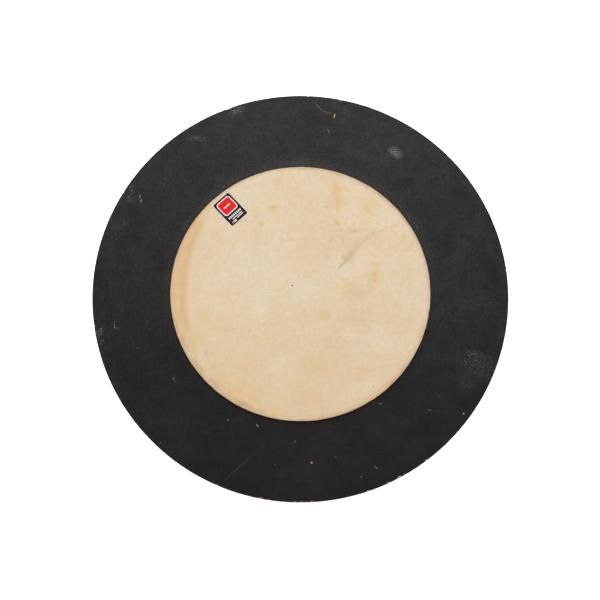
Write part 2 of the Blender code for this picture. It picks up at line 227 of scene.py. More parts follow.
class Shader:
    """One material's node tree, with short calls for the nodes that the materials here share."""

    def __init__(self, name, roughness, metallic=0.0, specular=0.5):
        self.material = bpy.data.materials.new(name)
        self.material.use_nodes = True
        self.tree = self.material.node_tree
        self.surface = self.tree.nodes["Principled BSDF"]
        self.surface.inputs["Roughness"].default_value = roughness
        self.surface.inputs["Metallic"].default_value = metallic
        self.surface.inputs["Specular IOR Level"].default_value = specular
        self.coords = self.add("ShaderNodeTexCoord").outputs["Object"]

    def add(self, kind, **settings):
        """A new node with these settings."""
        node = self.tree.nodes.new(kind)
        for key, value in settings.items():
            setattr(node, key, value)
        return node

    def feed(self, value, socket):
        """Links a socket to an input, or sets the input to a plain value."""
        if isinstance(value, bpy.types.NodeSocket):
            self.tree.links.new(value, socket)
        else:
            socket.default_value = value

    def math(self, operation, first, second=0.0, third=0.0, clamp=False):
        """One math node."""
        node = self.add("ShaderNodeMath", operation=operation, use_clamp=clamp)
        for value, socket in zip((first, second, third), node.inputs):
            self.feed(value, socket)
        return node.outputs[0]

    def times(self, first, *others):
        """The product of several values."""
        for value in others:
            first = self.math("MULTIPLY", first, value)
        return first

    def axes(self):
        """The object's x, y and z coordinates."""
        split = self.add("ShaderNodeSeparateXYZ")
        self.feed(self.coords, split.inputs[0])
        return split.outputs

    def stretched(self, *scale):
        """The object's coordinates, scaled differently along each axis."""
        node = self.add("ShaderNodeMapping")
        node.inputs["Scale"].default_value = scale
        self.feed(self.coords, node.inputs["Vector"])
        return node.outputs[0]

    def around(self, turn_scale, radius_scale, height_scale=0.0):
        """Coordinates that run round the axis: (turn, radius, height), each scaled."""
        x, y, z = self.axes()
        radius = self.math("SQRT", self.math("MULTIPLY_ADD", x, x, self.times(y, y)))
        joined = self.add("ShaderNodeCombineXYZ")
        self.feed(self.times(self.math("ARCTAN2", y, x), turn_scale), joined.inputs[0])
        self.feed(self.times(radius, radius_scale), joined.inputs[1])
        self.feed(self.times(z, height_scale), joined.inputs[2])
        return joined.outputs[0]

    def noise(self, size, detail=4.0, roughness=0.5, distortion=0.0, vector=None):
        """Noise from 0 to 1 with features of about this size, most of it between NOISE_SPAN's ends."""
        node = self.add("ShaderNodeTexNoise")
        self.feed(vector or self.coords, node.inputs["Vector"])
        node.inputs["Scale"].default_value = 1.0 / size
        node.inputs["Detail"].default_value = detail
        node.inputs["Roughness"].default_value = roughness
        node.inputs["Distortion"].default_value = distortion
        return node.outputs["Fac"]

    def ramp(self, value, low, high, start=0.0, end=1.0):
        """A straight ramp from start to end as value goes from low to high."""
        node = self.add("ShaderNodeMapRange")
        for item, socket in zip((value, low, high, start, end), node.inputs):
            self.feed(item, socket)
        return node.outputs[0]

    def vary(self, value, start, end):
        """A value that follows a noise, from start where it is low to end where it is high."""
        return self.ramp(value, *NOISE_SPAN, start, end)

    def mix(self, factor, first, second, blend="MIX"):
        """A mix of two colours."""
        node = self.add("ShaderNodeMix", data_type="RGBA", blend_type=blend)
        self.feed(factor, node.inputs[0])
        self.feed(first, node.inputs[6])
        self.feed(second, node.inputs[7])
        return node.outputs[2]

    def specks(self, spacing, size, share):
        """Scattered dots: spacing between places, the largest radius, and the share that are filled."""
        node = self.add("ShaderNodeTexVoronoi")
        self.feed(self.coords, node.inputs["Vector"])
        node.inputs["Scale"].default_value = 1.0 / spacing
        split = self.add("ShaderNodeSeparateColor")
        self.feed(node.outputs["Color"], split.inputs[0])
        chosen = self.math("LESS_THAN", split.outputs[0], share)
        reach = self.times(split.outputs[1], size / spacing)
        dot = self.ramp(self.math("SUBTRACT", reach, node.outputs["Distance"]), 0.0, 0.3 * size / spacing)
        return self.times(dot, chosen)

    def spot(self, place, half_size, turn=0.0, ragged=0.0, soft=0.4, grain=None):
        """A mask of one ellipse: 1 inside and 0 outside, with a soft and ragged outline."""
        node = self.add("ShaderNodeMapping", vector_type="TEXTURE")
        self.feed(self.coords, node.inputs["Vector"])
        node.inputs["Location"].default_value = (*place, 0.0)
        node.inputs["Rotation"].default_value = (0.0, 0.0, math.radians(turn))
        node.inputs["Scale"].default_value = (half_size[0] * MM, half_size[1] * MM, 1000.0)
        length = self.add("ShaderNodeVectorMath", operation="LENGTH")
        self.feed(node.outputs[0], length.inputs[0])
        distance = length.outputs["Value"]
        if grain is not None:
            distance = self.math("MULTIPLY_ADD", grain, ragged, distance)
        edge = 1.0 + ragged / 2
        return self.ramp(distance, edge - soft, edge + soft, 1.0, 0.0)

    def largest(self, first, *others):
        """The largest of several values."""
        for value in others:
            first = self.math("MAXIMUM", first, value)
        return first

    def attribute(self, name):
        """A number stored on the mesh."""
        return self.add("ShaderNodeAttribute", attribute_name=name).outputs["Fac"]

    def bump(self, height, depth, before=None):
        """A bump whose height runs from 0 to depth, on top of another one if given."""
        node = self.add("ShaderNodeBump")
        node.inputs["Strength"].default_value = 1.0
        node.inputs["Distance"].default_value = depth
        self.feed(height, node.inputs["Height"])
        if before is not None:
            self.feed(before, node.inputs["Normal"])
        return node.outputs[0]

    def finish(self, color, roughness=None, normal=None):
        """Feeds the surface, and gives the finished material."""
        self.feed(color, self.surface.inputs["Base Color"])
        if roughness is not None:
            self.feed(roughness, self.surface.inputs["Roughness"])
        if normal is not None:
            self.feed(normal, self.surface.inputs["Normal"])
        return self.material


# Marks on the board's face: (angle, distance, half width, half length, turn, strength).
DAB_CLUSTERS = (
    (108.8, 198.2, 7.4, 4.2, 18, 0.85), (110.5, 195.5, 4, 4, 0, 0.5), (191.9, 200.3, 3.4, 4.6, -12, 1),
    (190.7, 195.9, 1.8, 1.8, 0, 0.8), (194.2, 198.6, 1.8, 4, -14, 0.5), (147.8, 198.2, 2.6, 4, 20, 0.8),
    (150.2, 194, 4, 5, 10, 0.5), (123, 188, 9, 3, -8, 0.5), (158, 186.5, 4, 3, 0, 0.45),
)
DASHES = (
    (148.6, 186.6, 0.45, 1.7, -12, 0.75), (149.6, 183.2, 0.5, 1.5, -8, 0.8),
    (190.1, 183.3, 0.36, 3, -3, 0.32), (191.1, 183.6, 0.55, 0.9, 0, 0.62), (191.4, 181.6, 2, 0.4, 0, 0.24),
    (80.3, 167.8, 0.5, 2.4, 22, 0.4), (292.8, 185.2, 2.2, 0.4, -30, 0.4),
    (316.9, 169.7, 1.6, 0.4, -10, 0.25),
)
DUST_PATCHES = (
    (339.6, 181, 9, 5, -6, 1), (336.9, 186, 15, 12, -30, 0.72), (330.6, 184.6, 8, 9, 6, 0.42),
)
HAZE_PATCHES = (
    (77.9, 193.1, 8, 3.6, -30, 0.9), (74.5, 189.8, 9, 3, -28, 0.55), (84, 189.6, 10, 2.6, -38, 0.45),
    (93, 136, 22, 5, 2, 0.95), (98, 163, 4, 14, 0, 0.35), (115, 138, 20, 7, 28, 0.45),
    (166.5, 142.5, 3.5, 19, -45, 0.7), (172, 152, 10, 16, 0, 0.5), (18, 136, 5, 14, 18, 0.55),
    (347, 141, 8, 20, -12, 0.65), (355.5, 162, 12, 10, 0, 0.4), (12, 193, 5, 18, 12, 0.6),
    (3, 168, 34, 70, 0, 0.2), (42, 170, 32, 60, 40, 0.18), (306, 188, 14, 6, 34, 0.35),
    (321, 160, 16, 12, 20, 0.15), (299, 155, 10, 9, 0, 0.45), (50, 160, 14, 8, -40, 0.4),
    (62, 152, 18, 10, -40, 0.25), (135, 165, 16, 22, 40, 0.22), (238, 188, 11, 7, -32, 0.5),
)
DARK_PATCHES = (
    (131, 159, 7, 11, -10, 0.75), (86, 178, 17, 9, -8, 0.8), (79, 187, 6, 4, 0, 0.6),
    (112, 191, 6, 10, 20, 0.5), (158, 177, 12, 15, 0, 0.95), (163, 151, 7, 9, 0, 0.6),
    (18, 155, 7, 9, 0, 0.6), (220.5, 171, 12, 9, 0, 0.5), (331, 157, 9, 8, 0, 0.5),
    (30, 186, 9, 18, 20, 0.45), (8, 186, 12, 12, 0, 0.45), (47, 156, 10, 8, 0, 0.4),
    (312, 176, 16, 12, 30, 0.35),
)
DOTS = (
    (322.6, 196.7, 0.8, 0.8, 0, 1), (215, 149.1, 0.65, 0.9, 0, 0.5), (216.3, 149.2, 0.4, 0.8, 0, 0.28),
    (241.1, 143.4, 1, 0.7, 0, 0.36), (252.6, 137.1, 0.65, 1.35, 25, 0.7), (304.9, 133.8, 1.1, 0.8, 0, 0.32),
    (287.9, 188.5, 0.55, 0.9, 0, 0.3), (281.8, 164.4, 0.6, 0.5, 0, 0.32), (268, 146.3, 0.9, 1.2, 0, 0.18),
    (261.8, 169.5, 0.4, 0.4, 0, 0.28), (126.5, 174, 0.5, 0.5, 0, 0.32), (163.5, 189, 0.6, 0.6, 0, 0.34),
    (201.8, 143.3, 0.55, 0.45, 0, 0.34), (191, 151.5, 0.6, 0.4, 0, 0.28),
    (199.4, 167.2, 0.45, 0.45, 0, 0.24), (227.8, 198.6, 0.5, 0.8, 20, 0.3),
)
NICKS = (
    (79.3, 185, 0.65, 2, -8, 1), (273.7, 166.5, 0.7, 1, 0, 0.9),
)
# Thin scratches: (angle, distance) of both ends, half width and strength.
BOARD_SCRATCHES = (
    ((248.7, 195.5), (254.2, 163.8), 0.25, 0.15), ((86.4, 198.8), (83.2, 188.2), 0.8, 0.13),
    ((83.2, 188.2), (79.8, 187), 0.7, 0.16), ((97.5, 134.6), (85.5, 133.8), 0.55, 0.17),
    ((99.4, 132.8), (82.6, 133), 0.45, 0.12), ((97, 130.6), (84.6, 130.4), 0.5, 0.13),
    ((92.6, 136.4), (84.2, 136), 0.6, 0.08),
)
# A chalky finger mark: its middle, its half sizes, and where its ridges curve around.
FINGER_MARK = (56.5, 171.8)
FINGER_SIZE = (6.8, 4.6)
FINGER_TURN = -40
RIDGE_CENTRE = (54.0, 163.0)
RIDGE_SPACING = 2.3 * MM


def line_marks(shader, lines, **how):
    """The largest of several masks of thin lines between two places, each at its own strength."""
    masks = []
    for start, end, half_width, strength in lines:
        first, second = Vector(at(*start)), Vector(at(*end))
        along = second - first
        turn = math.degrees(math.atan2(along.y, along.x))
        half_size = (along.length / 2 / MM, half_width)
        mask = shader.spot(tuple((first + second) / 2), half_size, turn, **how)
        masks.append(shader.times(mask, strength))
    return shader.largest(*masks)


def marked(shader, marks, **how):
    """The largest of several ellipse masks, each at its own strength."""
    masks = []
    for angle, distance, half_width, half_length, turn, strength in marks:
        mask = shader.spot(at(angle, distance), (half_width, half_length), turn, **how)
        masks.append(shader.times(mask, strength))
    return shader.largest(*masks)


def flat_distance(shader, place):
    """The level distance from a place, at any height."""
    flat = shader.add("ShaderNodeVectorMath", operation="MULTIPLY")
    shader.feed(shader.coords, flat.inputs[0])
    flat.inputs[1].default_value = (1.0, 1.0, 0.0)
    node = shader.add("ShaderNodeVectorMath", operation="DISTANCE")
    shader.feed(flat.outputs[0], node.inputs[0])
    node.inputs[1].default_value = (*place, 0.0)
    return node.outputs["Value"]


def finger_mask(shader, grain):
    """The chalky finger mark, with its curved ridges."""
    outline = shader.spot(at(*FINGER_MARK), FINGER_SIZE, FINGER_TURN, ragged=0.7, soft=0.4, grain=grain)
    distance = flat_distance(shader, at(*RIDGE_CENTRE))
    wave = shader.math("SINE", shader.times(distance, math.tau / RIDGE_SPACING))
    ridges = shader.ramp(wave, -0.8, 0.9, 0.45, 1.0)
    patchy = shader.ramp(grain, 0.36, 0.60, 0.15, 1.0)
    return shader.times(shader.times(outline, ridges), patchy)


# One pale and one dark layer of the plywood together.
LAYER_PAIR = 3.0 * MM


def paint_color(paint, patch, grain, fine):
    """Black paint, cloudy and faintly tinted, with hazy and dark patches."""
    cloud = paint.noise(48 * MM, 3, 0.55, 0.5)
    tint = paint.noise(34 * MM, 3, 0.6, 0.8)
    weave = paint.noise(1.0, 2, 0.6, vector=paint.stretched(70.0, 620.0, 620.0))
    cross = paint.noise(1.0, 2, 0.6, vector=paint.stretched(620.0, 70.0, 620.0))
    level = paint.ramp(patch, 0.34, 0.70, 0.0, 0.55)
    level = paint.math("ADD", level, paint.ramp(cloud, 0.38, 0.66, 0.0, 0.45))
    level = paint.math("MULTIPLY_ADD", paint.attribute("haze"), 0.62, level)
    level = paint.math("MULTIPLY_ADD", paint.attribute("dark"), -0.7, level, clamp=True)
    color = paint.mix(level, tone(19, 19, 19), tone(34, 34, 34))
    color = paint.mix(paint.ramp(tint, 0.44, 0.62, 0.0, 0.6), color, tone(28, 22, 25))
    shade = paint.times(paint.ramp(grain, 0.28, 0.74, 0.54, 1.50), paint.vary(fine, 0.62, 1.38))
    shade = paint.times(shade, paint.vary(weave, 0.88, 1.12), paint.vary(cross, 0.88, 1.12))
    # The paint's grain shows less contrast on the near side.
    near_calm = paint.ramp(paint.axes()[1], -170 * MM, -50 * MM, 0.45, 0.0)
    shade = paint.mix(near_calm, shade, WHITE)
    return paint.mix(1.0, color, shade, "MULTIPLY")


def pale_marks(paint, grain):
    """How pale the marks on the board's face are: dabs, dashes, chalk, dust, dots, scratches and rubs."""
    speckle = paint.ramp(paint.noise(1.9 * MM, 2, 0.7, 0.8), 0.50, 0.62)
    dabs = paint.times(speckle, 0.48, paint.attribute("dabs"))
    # Scuffs that run round the far side of the hide's edge.
    rubs = paint.ramp(paint.noise(1.0, 2, 0.6, vector=paint.around(34.0, 900.0)), 0.40, 0.66)
    rubs = paint.times(rubs, paint.attribute("rubbed"), 0.13)
    dashes = marked(paint, DASHES, ragged=0.6, soft=0.4, grain=grain)
    chalk = paint.times(finger_mask(paint, grain), 0.58)
    powder = paint.ramp(paint.noise(1.1 * MM, 2, 0.7, 0.8), 0.52, 0.66, 0.004, 0.40)
    dust = paint.times(paint.attribute("dust"), powder)
    dots = marked(paint, DOTS, soft=0.35)
    scratches = line_marks(paint, BOARD_SCRATCHES, ragged=0.5, soft=0.4, grain=grain)
    return paint.largest(dabs, dashes, chalk, dust, dots, scratches, rubs)


def plywood_color(paint, height):
    """Bare plywood: pale and dark layers, with streaks along them."""
    layer = paint.math("FRACT", paint.times(height, 1.0 / LAYER_PAIR))
    streak = paint.noise(1.0, 4, 0.6, vector=paint.stretched(120.0, 120.0, 2600.0))
    wood = paint.mix(streak, tone(196, 158, 122), tone(158, 114, 80))
    return paint.mix(paint.ramp(layer, 0.52, 0.60, 0.0, 0.6), wood, tone(134, 94, 64))


def board_material():
    """Matte black paint on plywood, with scuffs, dust and bare wood where it has chipped."""
    paint = Shader("matte_black_paint", roughness=0.35, specular=0.11)
    patch = paint.noise(15 * MM, 5, 0.66, 0.5)
    grain = paint.noise(2.1 * MM, 3, 0.75)
    fine = paint.noise(0.7 * MM, 2, 0.6)
    color = paint_color(paint, patch, grain, fine)
    pale = pale_marks(paint, grain)
    # Those marks are on the face only. Fine dust grains lie in the paint everywhere.
    height = paint.axes()[2]
    middle = (BOARD_TOP + BOARD_BOTTOM) / 2
    upper = paint.ramp(height, middle - 1.0 * MM, middle + 1.0 * MM)
    lint = paint.times(paint.specks(11 * MM, 0.6 * MM, 0.3), 0.14)
    pale = paint.largest(paint.times(pale, upper), lint)
    color = paint.mix(paint.math("MULTIPLY", pale, 0.62, clamp=True), color, tone(168, 166, 164))
    nicks = marked(paint, NICKS, ragged=0.6, soft=0.3, grain=grain)
    chipped = paint.math("MULTIPLY_ADD", paint.math("SUBTRACT", fine, 0.5), 0.5, paint.attribute("bare"))
    bare = paint.largest(paint.ramp(chipped, 0.30, 0.50), paint.times(nicks, upper))
    color = paint.mix(bare, color, plywood_color(paint, height))
    shine = paint.ramp(patch, 0.35, 0.70, 0.39, 0.31)
    shine = paint.math("ADD", shine, paint.vary(grain, 0.07, -0.07))
    shine = paint.math("MULTIPLY_ADD", pale, 0.25, shine, clamp=True)
    shine = paint.largest(shine, paint.times(bare, 0.85), paint.times(paint.attribute("worn"), 0.92))
    relief = paint.bump(paint.noise(1.0, 3, 0.6, vector=paint.stretched(28.0, 900.0, 900.0)), 0.05 * MM)
    relief = paint.bump(grain, 0.085 * MM, relief)
    return paint.finish(color, shine, relief)


# The hide's creases: a line of (angle, distance) places, half width in millimetres, and depth.
CREASES = (
    (((30, 41), (33.6, 55), (37, 68), (38.2, 82), (34.5, 119)), 3.6, 0.1),
    (((65, 80), (59.1, 75), (53.6, 69.8), (45.1, 60.7)), 2, 0.08),
    (((14, 38), (12, 52), (11.5, 72)), 1.8, 0.05), (((110, 60), (92, 57), (78, 60)), 2.5, 0.05),
    (((318, 62), (335, 70), (352, 84)), 3, 0.05),
)
# Dark core lines of painted shade in the crease valleys: both ends, half width, strength.
CREASE_SHADE_LINES = (
    ((30, 41.5), (32.4, 49.4), 0.7, 0.46), ((32, 47.6), (34.4, 57.6), 1.5, 0.38),
    ((34.2, 57), (37.4, 67.8), 1.3, 0.22), ((37.4, 67.5), (38.3, 80), 1.2, 0.14),
    ((37.4, 97), (36.8, 105), 1.1, 0.42), ((36.9, 103), (34.5, 119), 0.45, 0.28),
    ((65.4, 80), (59.1, 75), 0.7, 0.26), ((59.6, 75.6), (53.2, 69.2), 0.6, 0.34),
    ((53.9, 70.2), (45.1, 60.7), 0.42, 0.32), ((14, 36), (12.3, 70), 0.35, 0.32),
    ((7.5, 96), (352, 99), 0.3, 0.12), ((262, 56), (318, 84), 0.5, 0.1), ((100, 54), (84, 52), 0.5, 0.14),
)
# Soft marks: (angle, distance, half width, half length, turn, strength).
# Painted shade beside the creases, and grey patches elsewhere on the hide.
CREASE_SHADE_AND_GREY_PATCHES = (
    (35.8, 58.5, 4.4, 8, -40, 0.6), (39, 68.5, 3.8, 8, -46, 0.36), (38.6, 82, 3, 9, -54, 0.22),
    (31.4, 46, 1.6, 5, -38, 0.4), (357, 57, 9, 5, 0, 0.32), (330, 62, 16, 10, 10, 0.16),
    (300, 58, 24, 4, -4, 0.16), (108, 86, 4, 3, 0, 0.2), (95, 86, 3, 2.4, 0, 0.26),
    (62, 40, 16, 8, 10, 0.1), (78, 120, 12, 4, -12, 0.12), (145, 60, 14, 9, 10, 0.1),
    (283, 30, 10, 6, 0, 0.12),
)
YELLOW_STAINS = (
    (70.5, 108.5, 6, 6.5, 0, 0.95), (66.9, 96, 4.4, 9, 0, 0.95), (52.6, 108, 10, 11, 0, 0.6),
    (61.5, 107.5, 4, 3.4, 0, 0.55), (62.6, 77, 3.4, 3.2, 0, 0.8), (62.2, 65.8, 2.8, 2.2, 0, 0.7),
    (59.6, 59.6, 2.6, 4.4, 0, 0.75), (49.4, 79, 7.8, 3.2, 6, 0.85), (47.8, 88.2, 2, 2, 0, 0.6),
    (36.6, 90.5, 5, 3.6, 30, 0.55), (33.8, 110.2, 3, 5, 0, 0.5), (26.4, 102, 2.8, 2.8, 0, 0.55),
    (21.6, 111.5, 4.6, 3.2, 0, 0.5), (30, 98, 11, 9, 0, 0.28), (29, 90, 6, 5, 0, 0.3),
    (11.5, 73.5, 6, 11, 0, 0.7), (6.5, 76, 5, 7, 0, 0.45), (9.5, 46, 3.5, 3.5, 0, 0.45),
    (1.5, 43, 7, 7, 0, 0.42), (107.5, 88, 6.6, 2.8, 8, 0.85), (118, 89, 3, 5, -20, 0.5),
    (119.8, 77, 2.6, 2.8, 0, 0.8), (134.5, 80, 5, 4, 20, 0.4), (351, 94.5, 3.2, 3.4, 0, 0.55),
    (311, 33, 7, 5, 0, 0.62), (322, 67, 6.5, 2, 6, 0.48), (320, 98, 7, 4.6, 0, 0.52),
    (306, 100, 5, 7.5, 10, 0.46), (281, 74, 13, 8, 0, 0.4), (275, 105, 11, 7, 0, 0.4),
    (245, 107, 14, 6, -26, 0.52), (236, 92, 12, 9, 0, 0.34), (205, 85, 12, 12, 20, 0.46),
    (206.5, 107, 9, 14, 20, 0.46), (214.4, 106, 10, 10, 0, 0.4), (222, 113, 8, 9, 45, 0.45),
    (231, 115, 9, 6, -40, 0.62), (239.5, 116, 10, 5.5, -32, 0.85), (247.5, 117.5, 10, 4.5, -24, 0.8),
    (254.5, 119, 8, 3.5, -16, 0.6), (196, 98, 6, 14, 6, 0.45), (180, 100, 5, 16, 0, 0.28),
    (255, 58, 12, 6, 10, 0.26), (232, 40, 6, 4, 30, 0.22),
)
ORANGE_CORES = (
    (71.6, 111, 2.2, 2.6, 0, 0.5), (67.9, 98, 2, 2.6, 0, 0.4), (73.1, 88.1, 1.7, 1.5, 0, 0.75),
    (62.4, 76.8, 1.3, 1.5, 0, 0.5), (48.8, 78.8, 2.4, 1.2, 0, 0.6), (59.4, 58.8, 1.3, 1.8, 0, 0.35),
    (12.6, 74.4, 1.8, 1.6, 0, 0.6), (8, 73, 1.6, 1.6, 0, 0.3), (106.6, 88, 2.4, 1.1, 8, 0.5),
    (119.8, 76.4, 1.2, 1.2, 0, 0.55), (351, 94.5, 1.3, 1.4, 0, 0.4), (38.4, 91, 1.6, 1.3, 10, 0.3),
)
CREAM_PATCHES = (
    (318, 62, 6, 7, 0, 0.6), (205, 42, 6, 10, -35, 0.55), (188, 36, 12, 5, 10, 0.3), (0, 2, 13, 11, 0, 0.5),
    (152, 76, 26, 20, -20, 0.2), (176, 76, 20, 18, 0, 0.18), (325, 93, 24, 18, 0, 0.48),
    (356, 95, 14, 26, 0, 0.34), (0, 112, 5, 26, 0, 0.42), (358, 119, 5, 20, 0, 0.46),
    (305, 112, 30, 7, 35, 0.34), (337, 115, 5, 14, -20, 0.36), (214, 113, 4, 9, 24, 0.4),
    (255, 75, 10, 10, 0, 0.3), (150, 50, 26, 16, 0, 0.42), (120, 104, 16, 5, 30, 0.36),
)
# Stains along the hide's edge, together with painted shade on it.
EDGE_STAIN_AND_SHADE_MARKS = (
    (235.5, 124.6, 8, 1.6, -35, 0.5), (243.5, 123.6, 10, 2.6, -27, 0.74), (251.5, 124.2, 7, 1.8, -18, 0.56),
    (228, 123.6, 10, 2.6, -42, 0.6), (217, 123.6, 11, 2.8, -53, 0.62), (206, 123.8, 11, 2.6, -64, 0.58),
    (196, 125.2, 11, 1.2, -74, 0.44), (212, 121, 16, 2.6, -58, 0.22), (231, 120.4, 14, 2.6, -39, 0.24),
    (322, 125, 5, 1, 52, 0.45), (315, 124.6, 6, 1.2, 45, 0.36), (302, 125, 6, 1.2, 32, 0.26),
    (60, 123.6, 10, 2, -30, 0.36), (73, 123.6, 9, 2, -17, 0.4), (88, 123.8, 9, 1.8, -2, 0.32),
    (47, 123.6, 9, 1.8, -43, 0.36), (35, 124.6, 9, 1.2, -55, 0.28),
)
HIDE_DOTS = (
    (149.1, 9.3, 0.75, 0.75, 0, 1), (214.4, 110.5, 0.95, 2, 0, 0.24), (214.4, 110, 2.2, 3.4, 0, 0.1),
    (219.1, 63.2, 0.62, 0.62, 0, 0.5), (221, 71, 0.55, 0.7, 0, 0.22), (202.1, 37.5, 0.7, 0.45, 0, 0.3),
    (209, 81.5, 1, 2.2, 10, 0.14), (306.6, 117.5, 0.8, 0.9, 0, 0.3), (214, 76, 0.5, 0.5, 0, 0.14),
    (241, 52, 0.5, 0.6, 0, 0.14), (256, 38, 0.6, 0.6, 0, 0.14), (318, 58, 0.45, 0.6, 0, 0.14),
)

# The hide's colours, a little deeper than they look in the bright studio light.
HIDE_CREAM = tone(208, 190, 165)
HIDE_TAN = tone(203, 182, 151)
HIDE_LOW = tone(200, 177, 142)
HIDE_YELLOW = tone(206, 178, 132)
HIDE_GREY = tone(197, 181, 155)
HIDE_PALE = tone(208, 194, 173)
HIDE_AMBER = tone(198, 162, 115)
HIDE_OCHRE = tone(205, 168, 110)
HIDE_ORANGE = tone(194, 144, 76)
SHADE_AND_STREAK_BROWN = tone(166, 139, 104)
CREASE_SHADE_COLOR = tone(132, 98, 60)
FAR_EDGE_SHADE_BROWN = tone(145, 102, 66)
HIDE_EDGE = tone(184, 128, 82)
HIDE_DARK = tone(160, 104, 54)
HIDE_SPECK = tone(46, 33, 26)

# An amber band runs along the hide's left side, outside this circle.
BAND_INNER_CENTRE = (38.1 * MM, -1.4 * MM)
BAND_INNER_RADIUS = 149.0 * MM


def band_mask(shader, grain):
    """The crescent between the left edge of the hide and a larger circle set to the right."""
    past = shader.math("SUBTRACT", flat_distance(shader, BAND_INNER_CENTRE), BAND_INNER_RADIUS)
    past = shader.math("MULTIPLY_ADD", grain, 3.0 * MM, past)
    rise = shader.ramp(past, -1.4 * MM, 4.4 * MM)
    fade = shader.ramp(past, 4.0 * MM, 9.0 * MM, 1.0, 0.74)
    x, y, _ = shader.axes()
    left = shader.ramp(x, -104 * MM, -82 * MM, 1.0, 0.0)
    upper = shader.ramp(y, -62 * MM, -28 * MM)
    return shader.times(rise, fade, left, upper)


def hide_color(hide, blotch):
    """Cream and tan clouds, deeper on the near side, with yellow, grey and cream patches."""
    cloud = hide.noise(60 * MM, 4, 0.55, 0.6)
    flush = hide.noise(4.8 * MM, 1, 0.5)
    near = hide.ramp(hide.axes()[1], -115 * MM, 35 * MM, 1.0, 0.0)
    color = hide.mix(hide.ramp(cloud, 0.36, 0.66), HIDE_CREAM, HIDE_TAN)
    color = hide.mix(hide.times(near, 0.75), color, HIDE_LOW)
    color = hide.mix(hide.ramp(blotch, 0.52, 0.72, 0.0, 0.55), color, HIDE_YELLOW)
    color = hide.mix(hide.ramp(blotch, 0.46, 0.30, 0.0, 0.40), color, HIDE_GREY)
    color = hide.mix(hide.ramp(flush, 0.50, 0.74, 0.0, 0.46), color, HIDE_YELLOW)
    return hide.mix(hide.attribute("cream"), color, HIDE_PALE)


def stained(hide, color, mottle):
    """The colour with the amber band, the stains, painted shade by the creases, grey patches and crease
    lines of painted shade over it.
    """
    color = hide.mix(hide.times(band_mask(hide, mottle), 0.92), color, HIDE_AMBER)
    stains = hide.times(hide.attribute("stain"), hide.ramp(mottle, 0.3, 0.6, 0.55, 1.0))
    color = hide.mix(hide.times(stains, 0.72), color, HIDE_OCHRE)
    cores = marked(hide, ORANGE_CORES, ragged=0.8, soft=0.7, grain=mottle)
    color = hide.mix(hide.times(cores, 0.50), color, HIDE_ORANGE)
    # Painted shade beside the creases, and grey patches.
    color = hide.mix(hide.times(hide.attribute("shade"), 0.62), color, SHADE_AND_STREAK_BROWN)
    # Dark lines of painted shade along the crease valleys.
    lines = line_marks(hide, CREASE_SHADE_LINES, ragged=0.6, soft=0.6, grain=mottle)
    return hide.mix(hide.times(lines, 0.55), color, CREASE_SHADE_COLOR)


def grained(hide, color, blotch, mottle, pores):
    """The colour with the hide's fine grain: mottle, pores, and streaks along both axes."""
    across = hide.noise(1.0, 3, 0.6, vector=hide.stretched(45.0, 420.0, 45.0))
    along = hide.noise(1.0, 3, 0.6, vector=hide.stretched(420.0, 45.0, 45.0))
    shade = hide.times(hide.ramp(mottle, 0.25, 0.75, 0.945, 1.046), hide.vary(blotch, 1.015, 0.983))
    shade = hide.times(shade, hide.vary(pores, 0.968, 1.032))
    shade = hide.times(shade, hide.vary(across, 0.982, 1.018), hide.vary(along, 0.982, 1.018))
    return hide.mix(1.0, color, shade, "MULTIPLY")


def browned(hide, color, mottle):
    """The colour turning browner where the hide rounds off, with painted shade down its far side and stains
    with painted shade along the edge.
    """
    turn = hide.math("POWER", hide.attribute("rounding"), 0.8)
    color = hide.mix(hide.times(turn, 0.28), color, HIDE_EDGE)
    streaks = hide.ramp(hide.noise(1.0, 2, 0.6, vector=hide.around(14.0, 620.0)), 0.50, 0.66)
    streaks = hide.times(streaks, hide.ramp(hide.attribute("rounding"), 0.02, 0.30, 0.0, 0.45))
    color = hide.mix(streaks, color, SHADE_AND_STREAK_BROWN)
    # Painted shade down the far side of the rounded edge, patchy with the mottle.
    far = hide.ramp(hide.axes()[1], -20 * MM, 110 * MM, 0.0, 0.50)
    far_edge_shade = hide.times(hide.vary(mottle, 0.75, 1.2), far)
    color = hide.mix(hide.times(turn, far_edge_shade), color, FAR_EDGE_SHADE_BROWN)
    # Stains along the edge, together with painted shade on it.
    return hide.mix(hide.times(hide.attribute("stain_and_shade_at_edge"), 0.5), color, HIDE_DARK)


def hide_material():
    """Natural hide: clouds, stains, creases with painted shade, a fine grain, a brown edge with painted
    shade, and dark specks.
    """
    hide = Shader("natural_hide_fine", roughness=0.5, specular=0.35)
    blotch = hide.noise(14 * MM, 5, 0.6, 0.5)
    mottle = hide.noise(4.5 * MM, 4, 0.6)
    pores = hide.noise(1.1 * MM, 2, 0.6)
    color = stained(hide, hide_color(hide, blotch), mottle)
    color = browned(hide, grained(hide, color, blotch, mottle, pores), mottle)
    dots = marked(hide, HIDE_DOTS, soft=0.5)
    scattered = hide.times(hide.specks(24 * MM, 0.6 * MM, 0.30), 0.16)
    color = hide.mix(hide.largest(dots, scattered), color, HIDE_SPECK)
    relief = hide.bump(pores, 0.03 * MM)
    relief = hide.bump(mottle, 0.08 * MM, relief)
    return hide.finish(color, hide.vary(blotch, 0.46, 0.58), relief)


def wood_material():
    """Bare beech bent round: grain along the ring, with short dark flecks."""
    wood = Shader("bent_beech", roughness=0.6, specular=0.3)
    grain = wood.noise(1.0, 4, 0.6, 0.3, vector=wood.around(9.0, 900.0, 900.0))
    color = wood.mix(wood.ramp(grain, 0.35, 0.68), tone(206, 168, 122), tone(168, 122, 78))
    flecks = wood.specks(3.2 * MM, 0.5 * MM, 0.5)
    color = wood.mix(wood.times(flecks, 0.5), color, tone(128, 84, 50))
    return wood.finish(color, wood.vary(grain, 0.5, 0.7), wood.bump(grain, 0.08 * MM))


